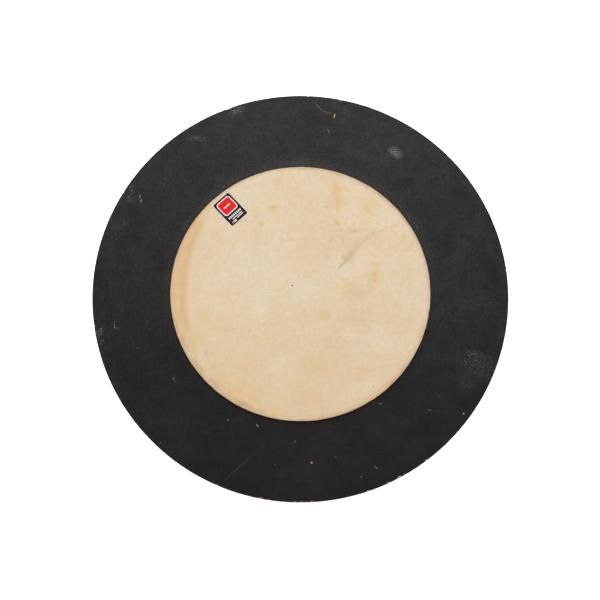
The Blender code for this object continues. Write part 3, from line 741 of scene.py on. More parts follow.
def felt_material():
    """Grey pressed wool felt, with a fuzzy matted surface."""
    felt = Shader("pressed_wool_felt", roughness=0.95, specular=0.15)
    felt.surface.inputs["Sheen Weight"].default_value = 0.35
    mats = felt.noise(2.2 * MM, 6, 0.7, 1.6)
    fibre = felt.noise(0.35 * MM, 3, 0.7, 2.0)
    color = felt.mix(felt.ramp(mats, 0.35, 0.68), tone(126, 122, 116), tone(166, 162, 154))
    color = felt.mix(felt.ramp(fibre, 0.62, 0.72, 0.0, 0.5), color, tone(206, 202, 194))
    relief = felt.bump(mats, 0.5 * MM)
    return felt.finish(color, None, felt.bump(fibre, 0.2 * MM, relief))


def rubber_material():
    """Moulded black rubber, dusty in its pits."""
    rubber = Shader("moulded_rubber", roughness=0.75, specular=0.4)
    pits = rubber.noise(0.9 * MM, 3, 0.6)
    dust = rubber.noise(7 * MM, 4, 0.6)
    color = rubber.mix(rubber.ramp(dust, 0.45, 0.72, 0.0, 0.6), tone(34, 34, 34), tone(64, 63, 61))
    return rubber.finish(color, rubber.vary(dust, 0.66, 0.86), rubber.bump(pits, 0.08 * MM))


def metal_material(name, light, dark, roughness):
    """Plated metal with fine turning lines and dull spots."""
    metal = Shader(name, roughness=roughness, metallic=1.0)
    dull = metal.noise(2.4 * MM, 4, 0.6)
    lines = metal.noise(1.0, 2, 0.5, vector=metal.stretched(900.0, 900.0, 9000.0))
    color = metal.mix(metal.ramp(dull, 0.42, 0.70), light, dark)
    shine = metal.ramp(dull, 0.35, 0.70, roughness - 0.08, roughness + 0.22)
    return metal.finish(color, shine, metal.bump(lines, 0.02 * MM))


# ---------------------------------------------------------------- mesh makers


def spaced(start, end, count):
    """Evenly spaced points (radius, height) after start, up to and with end."""
    points = []
    for step in range(1, count + 1):
        share = step / count
        points.append(tuple(a + (b - a) * share for a, b in zip(start, end)))
    return points


def arc(centre, radius, start, end, steps):
    """Points (radius, height) along an arc; start and end are angles in degrees."""
    points = []
    for step in range(steps + 1):
        angle = math.radians(start + (end - start) * step / steps)
        points.append((centre[0] + radius * math.cos(angle), centre[1] + radius * math.sin(angle)))
    return points


def turned(name, outline, steps):
    """Turns an outline of (radius, height) about Z into a closed mesh.

    The outline runs from the top outwards and down. It starts and ends on the axis, or closes on itself
    as a ring.
    """
    solid = outline[0][0] == 0.0
    angles = np.arange(steps) * math.tau / steps
    points, rings = [], []
    for radius, height in outline:
        if radius == 0.0:
            rings.append([len(points)] * steps)
            points.append((0.0, 0.0, height))
            continue
        rings.append(list(range(len(points), len(points) + steps)))
        for angle in angles:
            points.append((radius * math.cos(angle), radius * math.sin(angle), height))
    pairs = list(zip(rings, rings[1:]))
    if not solid:
        pairs.append((rings[-1], rings[0]))
    faces = []
    for upper, lower in pairs:
        for step in range(steps):
            after = (step + 1) % steps
            corners = (upper[step], lower[step], lower[after], upper[after])
            faces.append(tuple(dict.fromkeys(corners)))
    mesh = bpy.data.meshes.new(name)
    mesh.from_pydata(points, [], faces)
    return mesh


def piece(name, mesh, material, node, place=None):
    """Puts a mesh in the scene as a piece that stands for a CAD node and rides on the one body."""
    made = linked(name, mesh)
    mesh.materials.clear()
    mesh.materials.append(material)
    if place is not None:
        made.matrix_world = place
    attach(made, BODY)
    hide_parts(node)
    return made


def centre_of(node):
    """The middle of a CAD node's box."""
    low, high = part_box(node)
    return (low + high) / 2


def rods_at(nodes, radius, bottom, top=None):
    """Upright rods for holes at CAD nodes, up to one height or to just past each node's own top."""
    rods = []
    for node in nodes:
        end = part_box(node)[1].z + PIECE_GAP if top is None else top
        rods.append((centre_of(node), radius, bottom, end))
    return rods


def drilled(mesh, rods):
    """The mesh with upright round holes: each rod is (place, radius, bottom, top)."""
    bm = bmesh.new()
    for place, radius, bottom, top in rods:
        size = {"radius1": radius, "radius2": radius, "depth": top - bottom}
        rod = bmesh.ops.create_cone(bm, cap_ends=True, segments=HOLE_STEPS, **size)
        bmesh.ops.translate(bm, verts=rod["verts"], vec=(place.x, place.y, (top + bottom) / 2))
    return carved(mesh, bm)


def carved(mesh, bm):
    """The mesh with the bmesh's shape cut away. It uses the bmesh up."""
    cutter_mesh = bpy.data.meshes.new("cutter")
    bm.to_mesh(cutter_mesh)
    bm.free()
    cutter = linked("cutter", cutter_mesh)
    blank = linked("blank", mesh)
    modifier = blank.modifiers.new("cut", "BOOLEAN")
    modifier.operation = "DIFFERENCE"
    modifier.solver = "EXACT"
    modifier.object = cutter
    graph = bpy.context.evaluated_depsgraph_get()
    result = bpy.data.meshes.new_from_object(blank.evaluated_get(graph))
    bpy.data.objects.remove(cutter)
    bpy.data.objects.remove(blank)
    return result


def positions(mesh):
    """The mesh's points as an array."""
    flat = np.zeros(len(mesh.vertices) * 3)
    mesh.vertices.foreach_get("co", flat)
    return flat.reshape(-1, 3)


def move_points(mesh, points):
    """Puts the mesh's points at these places."""
    mesh.vertices.foreach_set("co", points.ravel())
    mesh.update()


def outward_of(points):
    """Each point's distance from the axis, and its level direction away from it."""
    radius = np.hypot(points[:, 0], points[:, 1])
    return radius, points[:, :2] / np.maximum(radius, 1e-9)[:, None]


def store(mesh, name, values):
    """Stores one number for each point, for a material to read."""
    layer = mesh.attributes.new(name, "FLOAT", "POINT")
    layer.data.foreach_set("value", np.ascontiguousarray(values, dtype=np.float32))


def store_marks(mesh, name, marks, ragged, soft, grain_size):
    """Stores a mask of soft ellipses: each mark's strength inside it, fading out past a ragged outline."""
    x, y, _ = positions(mesh).T
    seed = Vector((len(marks), 5.0, 9.0))
    places = [Vector((a, b, 0.0)) / grain_size + seed for a, b in zip(x, y)]
    grain = np.array([noise.fractal(place, 0.8, 2.0, 3) for place in places])
    total = np.zeros(len(x))
    for angle, distance, half_width, half_length, turn, strength in marks:
        centre = at(angle, distance)
        turn = math.radians(turn)
        from_x, from_y = x - centre[0], y - centre[1]
        across = (from_x * math.cos(turn) + from_y * math.sin(turn)) / (half_width * MM)
        along = (from_y * math.cos(turn) - from_x * math.sin(turn)) / (half_length * MM)
        reach = np.hypot(across, along) + ragged * grain
        share = np.clip((1.0 + soft - reach) / (2 * soft), 0.0, 1.0)
        total = np.maximum(total, strength * share * share * (3 - 2 * share))
    store(mesh, name, total)


def smooth(mesh, sharp_angle=None):
    """Smooth shading, with edges sharper than an angle in degrees kept sharp."""
    mesh.shade_smooth()
    if sharp_angle is not None:
        mesh.set_sharp_from_angle(angle=math.radians(sharp_angle))


# ---------------------------------------------------------------- the board

BOARD_ARRIS = 0.4 * MM
CHIP_DEPTH = 0.9 * MM
SMALL_CHIP_COUNT = 90
CHIP_SEED = 16
CHIP_RAGGED = 0.55
CHIP_NOISE_SCALE = 1100.0
PLY_STEP = 0.05 * MM
RUB_RADIUS = 130.5 * MM
RUB_WIDTH = 4.5 * MM
RIM_WIDTH = 4.0 * MM
# The mesh's coarse rings on the face and on the back, in millimetres from the axis.
FACE_RINGS = (0, 60, 113, 124)
BACK_RINGS = (190, 175, 155, 130, 112, 60, 0)

# Chips at the board's upper edge: (angle, half length along the rim, reach in, reach down, depth).
RIM_CHIPS = (
    (110.9, 3.4, 0.7, 1.8, 0.7), (113.2, 1.4, 0.5, 1.4, 0.5), (99.5, 1.2, 0.4, 1, 0.5),
    (78.4, 1.4, 0.6, 1.4, 0.6), (189.6, 1.4, 0.7, 1.6, 0.7), (223.9, 1.4, 0.6, 1.8, 0.7),
    (247.1, 1.6, 0.5, 2, 0.6), (259.4, 2.2, 0.8, 2.4, 0.8), (261.6, 1.4, 0.5, 2.6, 0.6),
    (268.6, 1.4, 0.9, 2.6, 0.8), (270.3, 1.8, 0.5, 2.2, 0.6), (271.6, 1, 0.5, 2.4, 0.6),
    (273, 1.4, 0.9, 2.4, 0.8), (288.4, 1.2, 0.6, 2, 0.7), (294.1, 1.8, 0.8, 2.2, 0.8),
    (297.5, 2.4, 1.3, 2.6, 0.9), (299.2, 1, 0.6, 1.8, 0.6), (306.1, 1.8, 1, 2.2, 0.8),
    (20, 1.2, 0.5, 1.4, 0.5), (150, 1.2, 0.5, 1.4, 0.6),
)


def board_outline():
    """The board's section, fine near the rim, where the chips are."""
    rim = BOARD_RADIUS - BOARD_ARRIS
    dense = BOARD_RADIUS - RIM_WIDTH
    upper, lower = BOARD_TOP - BOARD_ARRIS, BOARD_BOTTOM + BOARD_ARRIS
    outline = [(radius * MM, BOARD_TOP) for radius in FACE_RINGS]
    outline += spaced(outline[-1], (dense, BOARD_TOP), 38)
    outline += spaced((dense, BOARD_TOP), (rim, BOARD_TOP), 8)[:-1]
    outline += arc((rim, upper), BOARD_ARRIS, 90, 0, 5)
    outline += spaced((BOARD_RADIUS, upper), (BOARD_RADIUS, lower), 16)[:-1]
    outline += arc((rim, lower), BOARD_ARRIS, 0, -90, 4)
    outline += spaced((rim, BOARD_BOTTOM), (dense, BOARD_BOTTOM), 6)
    outline += [(radius * MM, BOARD_BOTTOM) for radius in BACK_RINGS]
    return outline


def chip_list():
    """The named chips and many small seeded ones, as (angle, half length, in, down, depth, edge height)."""
    chips = [(*chip, BOARD_TOP) for chip in RIM_CHIPS]
    draw = random.Random(CHIP_SEED)
    for _ in range(SMALL_CHIP_COUNT):
        angle = draw.uniform(0, 360)
        length = draw.uniform(0.4, 1.2)
        # The upper edge is chipped mostly on the near side.
        edge = BOARD_TOP if draw.random() < (0.4 if 235 < angle < 310 else 0.1) else BOARD_BOTTOM
        chips.append((angle, length, draw.uniform(0.25, 0.6), draw.uniform(0.3, 1.0), 0.45, edge))
    return chips


def chip_board(mesh):
    """Knocks the chips out of the board's edges, and stores how bare the wood is there."""
    points = positions(mesh)
    radius, outward = outward_of(points)
    angle = np.arctan2(points[:, 1], points[:, 0])
    bare = np.zeros(len(points))
    cut = np.zeros(len(points))
    near = np.where(radius > BOARD_RADIUS - RIM_WIDTH)[0]
    rough = np.array([noise.noise(Vector(points[i]) * CHIP_NOISE_SCALE) for i in near])
    for place, length, inward, down, depth, edge in chip_list():
        gap = (angle[near] - math.radians(place) + math.pi) % math.tau - math.pi
        along = gap * BOARD_RADIUS / (length * MM)
        across = (BOARD_RADIUS - radius[near]) / (inward * MM)
        below = np.abs(edge - points[near, 2]) / (down * MM)
        inside = np.clip(1.0 - along**2 - across**2 - below**2 + CHIP_RAGGED * rough, 0.0, 1.0)
        bare[near] = np.maximum(bare[near], inside)
        cut[near] = np.maximum(cut[near], np.sqrt(inside) * depth * CHIP_DEPTH)
    # The cut runs in and towards the board's middle plane.
    middle = (BOARD_TOP + BOARD_BOTTOM) / 2
    points[:, :2] -= outward * (cut * 0.75)[:, None]
    points[:, 2] -= np.sign(points[:, 2] - middle) * cut * 0.55
    # The plywood's layers stand a little proud of each other round the side.
    side = radius > BOARD_RADIUS - PLY_STEP
    ply = PLY_STEP * np.sin((points[:, 2] - BOARD_BOTTOM) / LAYER_PAIR * math.tau)
    points[side, :2] -= outward[side] * (PLY_STEP + ply[side])[:, None]
    move_points(mesh, points)
    store(mesh, "bare", np.clip(bare * 1.6, 0.0, 1.0))
    store(mesh, "worn", np.clip((radius - BOARD_RADIUS + 1.2 * MM) / (0.8 * MM), 0.0, 1.0))


def make_board():
    """The painted plywood board, with its screw holes and worn edge."""
    mesh = turned("painted_board", board_outline(), BOARD_STEPS)
    bottom = BOARD_BOTTOM - PIECE_GAP
    rods = rods_at(HOOP_SCREWS, HOLE_RADIUS, bottom, BOARD_TOP + PIECE_GAP)
    mesh = drilled(mesh, rods + rods_at(FOOT_SCREWS, PILOT_RADIUS, bottom))
    chip_board(mesh)
    radius, outward = outward_of(positions(mesh))
    far_side = np.clip(0.35 + outward[:, 1], 0.0, 1.0)
    store(mesh, "rubbed", np.exp(-(((radius - RUB_RADIUS) / RUB_WIDTH) ** 2)) * far_side)
    store_marks(mesh, "haze", HAZE_PATCHES, 0.45, 0.7, 22 * MM)
    store_marks(mesh, "dark", DARK_PATCHES, 0.45, 0.6, 22 * MM)
    store_marks(mesh, "dabs", DAB_CLUSTERS, 0.30, 0.5, 8 * MM)
    store_marks(mesh, "dust", DUST_PATCHES, 0.40, 0.6, 10 * MM)
    smooth(mesh, 50)
    piece("painted_board", mesh, board_material(), "base_board")


# ---------------------------------------------------------------- the hide

WAVE_HEIGHT = 0.16 * MM
SIDE_WAVE = 0.18 * MM
SIDE_WAVE_COUNTS = (23, 41, 67)
TUCK_RADIUS = 1.5 * MM
# The waves fade out over this distance, and end this far inside the rim.
WAVE_FADE = 14 * MM
WAVE_MARGIN = 3 * MM
CREASE_FADE = 8 * MM


def hide_outline():
    """The hide's section: over the top, round the hoop, under it and tucked up inside."""
    thick = HIDE_THICKNESS
    edge = (HEAD_RADIUS - HIDE_EDGE_RADIUS, HEAD_TOP - HIDE_EDGE_RADIUS)
    foot = (HEAD_RADIUS - HIDE_FOOT_RADIUS, LAP_BOTTOM + HIDE_FOOT_RADIUS)
    tuck = (TUCK_INNER_RADIUS + TUCK_RADIUS, LAP_BOTTOM + TUCK_RADIUS)
    under = HEAD_TOP - thick
    tuck_top = under - TUCK_DROP
    outline = [(0.0, HEAD_TOP)]
    outline += spaced((0.0, HEAD_TOP), (edge[0], HEAD_TOP), 100)[:-1]
    outline += arc(edge, HIDE_EDGE_RADIUS, 90, 0, 12)
    outline += arc(foot, HIDE_FOOT_RADIUS, 0, -90, 4)
    outline += arc(tuck, TUCK_RADIUS, -90, -180, 4)
    outline += [(TUCK_INNER_RADIUS, tuck_top), (TUCK_INNER_RADIUS + thick, tuck_top)]
    outline += arc(tuck, TUCK_RADIUS - thick, 180, 270, 3)
    outline += arc(foot, HIDE_FOOT_RADIUS - thick, -90, 0, 3)
    outline += arc(edge, HIDE_EDGE_RADIUS - thick, 0, 90, 6)
    outline += spaced((edge[0], under), (0.0, under), 12)
    return outline


def crease_depth(x, y):
    """How far the creases push the hide down at each place, as an array."""
    depth = np.zeros(len(x))
    for places, half_width, most in CREASES:
        route = [at(*place) for place in places]
        for index, (first, second) in enumerate(zip(route, route[1:])):
            along = np.subtract(second, first)
            share = ((x - first[0]) * along[0] + (y - first[1]) * along[1]) / (along @ along)
            share = np.clip(share, 0.0, 1.0)
            away = np.hypot(x - first[0] - share * along[0], y - first[1] - share * along[1])
            whole = (index + share) / (len(route) - 1)
            taper = np.sin(np.clip(whole, 0.02, 0.98) * math.pi) ** 0.6
            # A sharp valley with a low ridge on each side.
            across = away / (half_width * MM)
            fold = np.exp(-((across * 1.6) ** 2)) - 0.35 * np.exp(-((across - 1.5) ** 2) * 2.2)
            depth = np.where(np.abs(fold * taper * most) > np.abs(depth), fold * taper * most, depth)
    return depth * MM


def shape_hide(mesh):
    """Waves and creases in the hide, and how far round its edge it has turned, for the brown edge and its
    painted shade.
    """
    points = positions(mesh)
    x, y, z = points.T.copy()
    radius, outward = outward_of(points)
    seeds = Vector((3.1, 7.7, 1.9))
    places = [Vector((a, b, 0.0)) * 28.0 + seeds for a, b in zip(x, y)]
    waves = np.array([noise.fractal(place, 0.9, 2.1, 3) for place in places])
    inside = np.clip((HEAD_RADIUS - WAVE_MARGIN - radius) / WAVE_FADE, 0.0, 1.0)
    # The membrane is the hide's flat middle, with both its faces.
    membrane = (z > HEAD_TOP - 2.2 * HIDE_THICKNESS) & (radius < HEAD_RADIUS - HIDE_EDGE_RADIUS + 1.0 * MM)
    drop = crease_depth(x, y) * np.clip((HEAD_RADIUS - radius) / CREASE_FADE, 0.0, 1.0)
    points[:, 2] += np.where(membrane, inside * WAVE_HEIGHT * waves - drop, 0.0)
    # The side of the lap is a little uneven, as wet hide dries.
    angle = np.arctan2(y, x)
    slow, medium, fast = (angle * count for count in SIDE_WAVE_COUNTS)
    uneven = np.sin(slow + 1.0) + 0.6 * np.sin(medium + 2.2) + 0.4 * np.sin(fast)
    side = (radius > HEAD_RADIUS - HIDE_EDGE_RADIUS) & (z < HEAD_TOP - 1.0 * MM)
    points[:, :2] -= np.where(side, SIDE_WAVE * 0.5 * (1.0 + uneven / 2), 0.0)[:, None] * outward
    move_points(mesh, points)
    # How far round its edge the hide has turned, from 0 on the flat to 1 on the side.
    past = np.clip((radius - HEAD_RADIUS + HIDE_EDGE_RADIUS) / HIDE_EDGE_RADIUS, 0.0, 1.0)
    store(mesh, "rounding", np.arcsin(past) / (math.pi / 2))


def make_hide():
    """The lapped hide, with its screw holes."""
    mesh = turned("lapped_hide", hide_outline(), HIDE_STEPS)
    past = PIECE_GAP / 2
    inside = LAP_BOTTOM + HIDE_THICKNESS + past
    mesh = drilled(mesh, rods_at(HOOP_SCREWS, PILOT_RADIUS, LAP_BOTTOM - past, inside))
    shape_hide(mesh)
    store_marks(mesh, "cream", CREAM_PATCHES, 0.40, 0.8, 12 * MM)
    store_marks(mesh, "stain", YELLOW_STAINS, 0.55, 0.7, 7 * MM)
    # Painted shade beside the creases, and grey patches.
    store_marks(mesh, "shade", CREASE_SHADE_AND_GREY_PATCHES, 0.30, 0.8, 7 * MM)
    # Stains along the hide's edge, together with painted shade on it.
    store_marks(mesh, "stain_and_shade_at_edge", EDGE_STAIN_AND_SHADE_MARKS, 0.50, 0.7, 5 * MM)
    smooth(mesh, 60)
    made = piece("lapped_hide", mesh, hide_material(), "head_skin")
    # The disc it was cut from: across the face, down both sides, under the hoop and up inside.
    lap = math.pi / 2 * HIDE_EDGE_RADIUS + (HEAD_TOP - LAP_BOTTOM - HIDE_EDGE_RADIUS)
    lap += HEAD_RADIUS - TUCK_INNER_RADIUS + (HEAD_TOP - LAP_BOTTOM - TUCK_DROP)


def hide_height(x, y):
    """Height of the hide's smooth surface at a place."""
    past = math.hypot(x, y) - (HEAD_RADIUS - HIDE_EDGE_RADIUS)
    if past <= 0.0:
        return HEAD_TOP
    return HEAD_TOP - HIDE_EDGE_RADIUS + math.sqrt(max(HIDE_EDGE_RADIUS**2 - past**2, 0.0))


# ---------------------------------------------------------------- the hoop and the felt

HOOP_ARRIS = 0.6 * MM
FELT_ARRIS = 0.8 * MM
FELT_LUMP = 0.12 * MM


def make_hoop():
    """The bent wooden hoop inside the lap, with its pilot holes."""
    low = HOOP_ARRIS
    edge = HIDE_EDGE_RADIUS - HIDE_THICKNESS - PIECE_GAP
    top, bottom = HOOP_HIGH.z, HOOP_LOW.z
    outline = arc((HOOP_OUTER_RADIUS - edge, top - edge), edge, 90, 0, 10)
    outline += arc((HOOP_OUTER_RADIUS - low, bottom + low), low, 0, -90, 4)
    outline += arc((HOOP_INNER_RADIUS + low, bottom + low), low, -90, -180, 4)
    outline += arc((HOOP_INNER_RADIUS + low, top - low), low, 180, 90, 4)
    mesh = turned("bent_hoop", outline, HOOP_STEPS)
    mesh = drilled(mesh, rods_at(HOOP_SCREWS, PILOT_RADIUS, bottom - PIECE_GAP))
    smooth(mesh, 45)
    piece("bent_hoop", mesh, wood_material(), "flesh_hoop")


def make_felt():
    """The felt disc under the hide, with a soft cut edge."""
    top, bottom = FELT_HIGH.z, FELT_LOW.z
    soft = FELT_ARRIS
    outline = [(0.0, top)]
    outline += spaced((0.0, top), (FELT_RADIUS - soft, top), 20)[:-1]
    outline += arc((FELT_RADIUS - soft, top - soft), soft, 90, 0, 4)
    outline += arc((FELT_RADIUS - soft, bottom + soft), soft, 0, -90, 4)
    outline += spaced((FELT_RADIUS - soft, bottom), (0.0, bottom), 12)
    mesh = turned("felt_disc", outline, HOOP_STEPS)
    points = positions(mesh)
    lumps = np.array([noise.noise(Vector(p) * 260.0) for p in points])
    points[:, 2] -= np.where(points[:, 2] > (top + bottom) / 2, FELT_LUMP * (1 + lumps), 0.0)
    move_points(mesh, points)
    smooth(mesh)
    made = piece("felt_disc", mesh, felt_material(), "felt_damper")


# ---------------------------------------------------------------- the label

LABEL_CORNER = 1.9 * MM
LABEL_GRID = (26, 36)
# The print, in millimetres from the label's middle: the black ink's border and corners, the red block, and
# bars of (middle across, middle along, half width, half height) that stand for small print.
LABEL_BORDER = 0.45
INK_CORNER = 1.6
BLOCK_MIDDLE = (0.0, 4.6)
PRINT_BARS = [(-6.9 + 2.0 * step, -6.5, 0.72, 1.05) for step in range(8)]
PRINT_BARS += [(1.0, -9.2, 6.2, 0.42), (3.4, -10.9, 4.0, 0.42), (-5.0, -11.9, 2.5, 0.95)]
RED_BAR = (-6.2, -11.9, 1.1, 0.7)


def rounded_mask(shader, across, along, half_width, half_length, corner=0.0, centre=(0.0, 0.0)):
    """A crisp rounded rectangle in the label's own (across, along) coordinates, in millimetres."""
    past = []
    for value, middle, half in ((across, centre[0], half_width), (along, centre[1], half_length)):
        distance = shader.math("ABSOLUTE", shader.math("SUBTRACT", value, middle))
        past.append(shader.largest(shader.math("SUBTRACT", distance, half - corner), 0.0))
    square = shader.math("MULTIPLY_ADD", past[1], past[1], shader.times(past[0], past[0]))
    reach = shader.math("SQRT", square)
    return shader.ramp(reach, corner - 0.03, corner + 0.05, 1.0, 0.0)


def label_material():
    """A printed label: black with a thin pale border, a red block and plain bars."""
    paper = Shader("printed_label", roughness=0.45, specular=0.08)
    across, along = (paper.times(value, 1.0 / MM) for value in paper.axes()[:2])
    wear = paper.noise(2.5 * MM, 4, 0.6)
    half_width = LABEL_WIDTH / 2 / MM - LABEL_BORDER
    half_length = LABEL_LENGTH / 2 / MM - LABEL_BORDER
    white, black, red = tone(222, 218, 210), tone(15, 14, 16), tone(214, 26, 30)
    ink = rounded_mask(paper, across, along, half_width, half_length, INK_CORNER)
    color = paper.mix(ink, white, paper.mix(wear, black, tone(26, 25, 27)))
    # The block's white rim, red field and white bar: (half width, half height, corner, colour).
    for *size, fill in ((8.3, 7.9, 3.0, white), (7.3, 6.9, 2.0, red), (3.8, 0.6, 0.2, white)):
        color = paper.mix(rounded_mask(paper, across, along, *size, BLOCK_MIDDLE), color, fill)
    for *middle, bar_width, bar_height in PRINT_BARS:
        bar = rounded_mask(paper, across, along, bar_width, bar_height, 0.12, middle)
        color = paper.mix(paper.times(bar, 0.9), color, white)
    *middle, bar_width, bar_height = RED_BAR
    color = paper.mix(rounded_mask(paper, across, along, bar_width, bar_height, 0.1, middle), color, red)
    color = paper.mix(paper.ramp(wear, 0.66, 0.74, 0.0, 0.25), color, tone(120, 116, 110))
    return paper.finish(color, paper.vary(wear, 0.38, 0.52), paper.bump(wear, 0.02 * MM))


def make_label():
    """The paper label, lying on the hide and bent down a little where the hide rounds off."""
    columns, rows = LABEL_GRID
    bm = bmesh.new()
    bmesh.ops.create_grid(bm, x_segments=columns, y_segments=rows, size=0.5)
    for vert in bm.verts:
        vert.co.x *= LABEL_WIDTH
        vert.co.y *= LABEL_LENGTH
        # Points in a corner move in to the corner's arc.
        corner_x = abs(vert.co.x) - (LABEL_WIDTH / 2 - LABEL_CORNER)
        corner_y = abs(vert.co.y) - (LABEL_LENGTH / 2 - LABEL_CORNER)
        if corner_x > 0 and corner_y > 0:
            reach = math.hypot(corner_x, corner_y)
            share = max(corner_x, corner_y) / reach
            vert.co.x -= math.copysign(corner_x * (1 - share), vert.co.x)
            vert.co.y -= math.copysign(corner_y * (1 - share), vert.co.y)
    sheet = bm.faces[:]
    raised = bmesh.ops.extrude_face_region(bm, geom=sheet)
    top = [item for item in raised["geom"] if isinstance(item, bmesh.types.BMVert)]
    bmesh.ops.translate(bm, verts=top, vec=(0.0, 0.0, LABEL_THICKNESS))
    centre = (LABEL_LOW + LABEL_HIGH) / 2
    seat = LABEL_HIGH.z - LABEL_THICKNESS
    place = Matrix.Translation((centre.x, centre.y, seat)) @ Matrix.Rotation(LABEL_TURN, 4, "Z")
    for vert in bm.verts:
        on_hide = place @ Vector((vert.co.x, vert.co.y, 0.0))
        vert.co.z += hide_height(on_hide.x, on_hide.y) - HEAD_TOP
    bmesh.ops.recalc_face_normals(bm, faces=bm.faces)
    mesh = bpy.data.meshes.new("printed_label")
    bm.to_mesh(mesh)
    bm.free()
    smooth(mesh, 40)
    piece("printed_label", mesh, label_material(), "label", place)


# ---------------------------------------------------------------- fasteners and feet

THREAD_PITCH = 1.3 * MM
THREAD_HEIGHT = 0.45 * MM
SCREW_TIP = 2.6 * MM
THREAD_RUNOUT = 0.8 * MM
CREST_SHARPNESS = 3.2
PLAIN_SHANK = 3.2 * MM
SLOT_CUTTER = (9.0 * MM, 0.8 * MM, 1.4 * MM)

# Sections as (radius, height) in millimetres, from where the head meets the shank down to the axis.
COUNTERSUNK_HEAD = ((3.35, -2), (3.45, -2.1), (3.2, -2.25), (2.4, -2.42), (1.3, -2.55), (0, -2.6))
PAN_HEAD = ((3.15, 0), (3.3, -0.15), (3.3, -0.8), (3.05, -1.25), (2.5, -1.55), (1.4, -1.75), (0, -1.8))
# The feet, in millimetres: how far the base is set in, its round edge, the grooves in it, counted from its
# edge, the recess for the screw, and the rubber left above that.
BASE_INSET = 0.9
BASE_ROUND = 1.0
GROOVES = (1.6, 2.6, 3.6)
RECESS_RADIUS = 5.6
RECESS_ROUND = 0.4
SEAT_THICKNESS = 1.8
WASHER_ARRIS = 0.12


def in_metres(outline):
    """An outline of (radius, height) in millimetres, as metres."""
    return [(radius * MM, height * MM) for radius, height in outline]


def size_of(node):
    """A round CAD node's outer radius and height, in millimetres."""
    low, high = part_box(node)
    return (high.x - low.x) / 2 / MM, (high.z - low.z) / MM


def each(nodes, prefix, mesh, material, anchor_height, draw=None):
    """A piece for each CAD node, standing where the node does, turned outwards or as drawn."""
    for number, node in enumerate(nodes, 1):
        centre = centre_of(node)
        turn = draw.uniform(0, math.pi) if draw else math.atan2(centre.y, centre.x)
        place = Matrix.Translation((centre.x, centre.y, anchor_height)) @ Matrix.Rotation(turn, 4, "Z")
        piece(f"{prefix}_{number}", mesh, material, node, place)


def cut_thread(mesh):
    """Cuts a helical thread into a screw's shank, which stands above height 0."""
    points = positions(mesh)
    angle = np.arctan2(points[:, 1], points[:, 0]) / math.tau
    phase = (points[:, 2] / THREAD_PITCH - angle) % 1.0
    crest = np.clip(1.0 - np.abs(phase - 0.5) * CREST_SHARPNESS, 0.0, 1.0)
    radius = np.hypot(points[:, 0], points[:, 1])
    threaded = np.clip((points[:, 2] - PLAIN_SHANK) / THREAD_RUNOUT, 0.0, 1.0)
    cut = THREAD_HEIGHT * (1.0 - crest) * threaded * radius / SHANK_RADIUS
    keep = np.where((points[:, 2] > 0) & (radius > 0), 1.0 - cut / np.maximum(radius, 1e-9), 1.0)
    points[:, :2] *= keep[:, None]
    move_points(mesh, points)


def slotted(mesh, head_height):
    """The screw with a straight slot across its head. Half of the cutting block is below the head."""
    bm = bmesh.new()
    bmesh.ops.create_cube(bm, size=1.0)
    bmesh.ops.scale(bm, verts=bm.verts, vec=SLOT_CUTTER)
    bmesh.ops.translate(bm, verts=bm.verts, vec=(0.0, 0.0, -head_height))
    return carved(mesh, bm)


def make_screws(nodes, name, head, material, seed):
    """Wood screws, head down, each with a helical thread and a slotted head."""
    low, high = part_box(nodes[0])
    head_height = -head[-1][1] * MM
    length = high.z - low.z - head_height
    outline = [(0.0, length)]
    outline += spaced((0.0, length), (SHANK_RADIUS, length - SCREW_TIP), 12)
    outline += spaced((SHANK_RADIUS, length - SCREW_TIP), (SHANK_RADIUS, 0.0), 70)
    mesh = turned(name, outline + in_metres(head), SCREW_STEPS)
    cut_thread(mesh)
    mesh = slotted(mesh, head_height)
    smooth(mesh, 40)
    each(nodes, name, mesh, material, low.z + head_height, random.Random(seed))


def make_cup_washers(material):
    """The turned cup washers at the back."""
    outer, height = size_of(HOOP_WASHERS[0])
    cup = [(2.3, 0), (outer - 0.2, 0), (outer, -0.2), (outer - 0.15, -0.42), (outer - 0.5, -0.62)]
    cup += [(outer - 0.8, -1.2), (4.5, 0.15 - height), (4.2, -height)]
    cup += [(3.95, 0.08 - height), (3.8, 0.22 - height)]
    mesh = turned("cup_washer", in_metres(cup), WASHER_STEPS)
    smooth(mesh, 50)
    each(HOOP_WASHERS, "cup_washer", mesh, material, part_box(HOOP_WASHERS[0])[1].z)


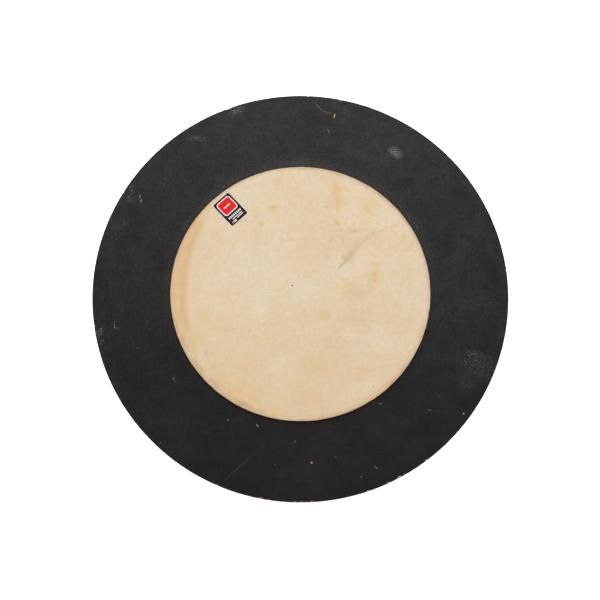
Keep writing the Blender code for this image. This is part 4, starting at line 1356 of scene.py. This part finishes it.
def make_feet():
    """The rubber feet, each with a rounded rim, a grooved base and a recess for its screw."""
    outer, height = size_of(FEET[0])
    base, seat, hole = outer - BASE_INSET, height - SEAT_THICKNESS, HOLE_RADIUS / MM
    foot = [(hole, height), (outer - 0.3, height), (outer, height - 0.3)]
    foot += [(outer - 0.25, height - 1.6), (outer - 0.75, height - 1.9)]
    foot += arc((base - BASE_ROUND, BASE_ROUND), BASE_ROUND, 0, -90, 5)
    for inset in GROOVES:
        groove = base - inset
        foot += [(groove + 0.2, 0), (groove, 0.35), (groove - 0.2, 0)]
    foot += arc((RECESS_RADIUS + RECESS_ROUND, RECESS_ROUND), RECESS_ROUND, -90, -180, 3)
    foot += [(RECESS_RADIUS, seat), (hole, seat)]
    mesh = turned("rubber_foot_moulding", in_metres(foot), FOOT_STEPS)
    smooth(mesh, 45)
    each(FEET, "rubber_foot_moulding", mesh, rubber_material(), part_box(FEET[0])[0].z)


def make_flat_washers(material):
    """The flat washers in the feet."""
    outer, top = size_of(FOOT_WASHERS[0])
    edge, bore = WASHER_ARRIS, HOLE_RADIUS / MM
    ring = [(bore + edge, top), (outer - edge, top), (outer, top - edge), (outer, edge)]
    ring += [(outer - edge, 0), (bore + edge, 0), (bore, edge), (bore, top - edge)]
    mesh = turned("flat_washer", in_metres(ring), WASHER_STEPS)
    smooth(mesh, 50)
    each(FOOT_WASHERS, "flat_washer", mesh, material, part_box(FOOT_WASHERS[0])[0].z)


# ---------------------------------------------------------------- everything together

bpy.context.scene.view_settings.view_transform = "Standard"
make_camera()
make_surround()
make_lights()
make_floor()
make_board()
make_hoop()
make_hide()
make_felt()
make_label()
STEEL = metal_material("plated_steel", tone(196, 194, 188), tone(150, 146, 138), 0.32)
BRASS = metal_material("dull_brass", tone(192, 168, 118), tone(138, 112, 70), 0.36)
ZINC = metal_material("plated_zinc", tone(202, 202, 200), tone(160, 160, 158), 0.38)
make_screws(HOOP_SCREWS, "countersunk_screw", COUNTERSUNK_HEAD, STEEL, 8)
make_cup_washers(BRASS)
make_feet()
make_flat_washers(ZINC)
make_screws(FOOT_SCREWS, "pan_screw", PAN_HEAD, STEEL, 4)
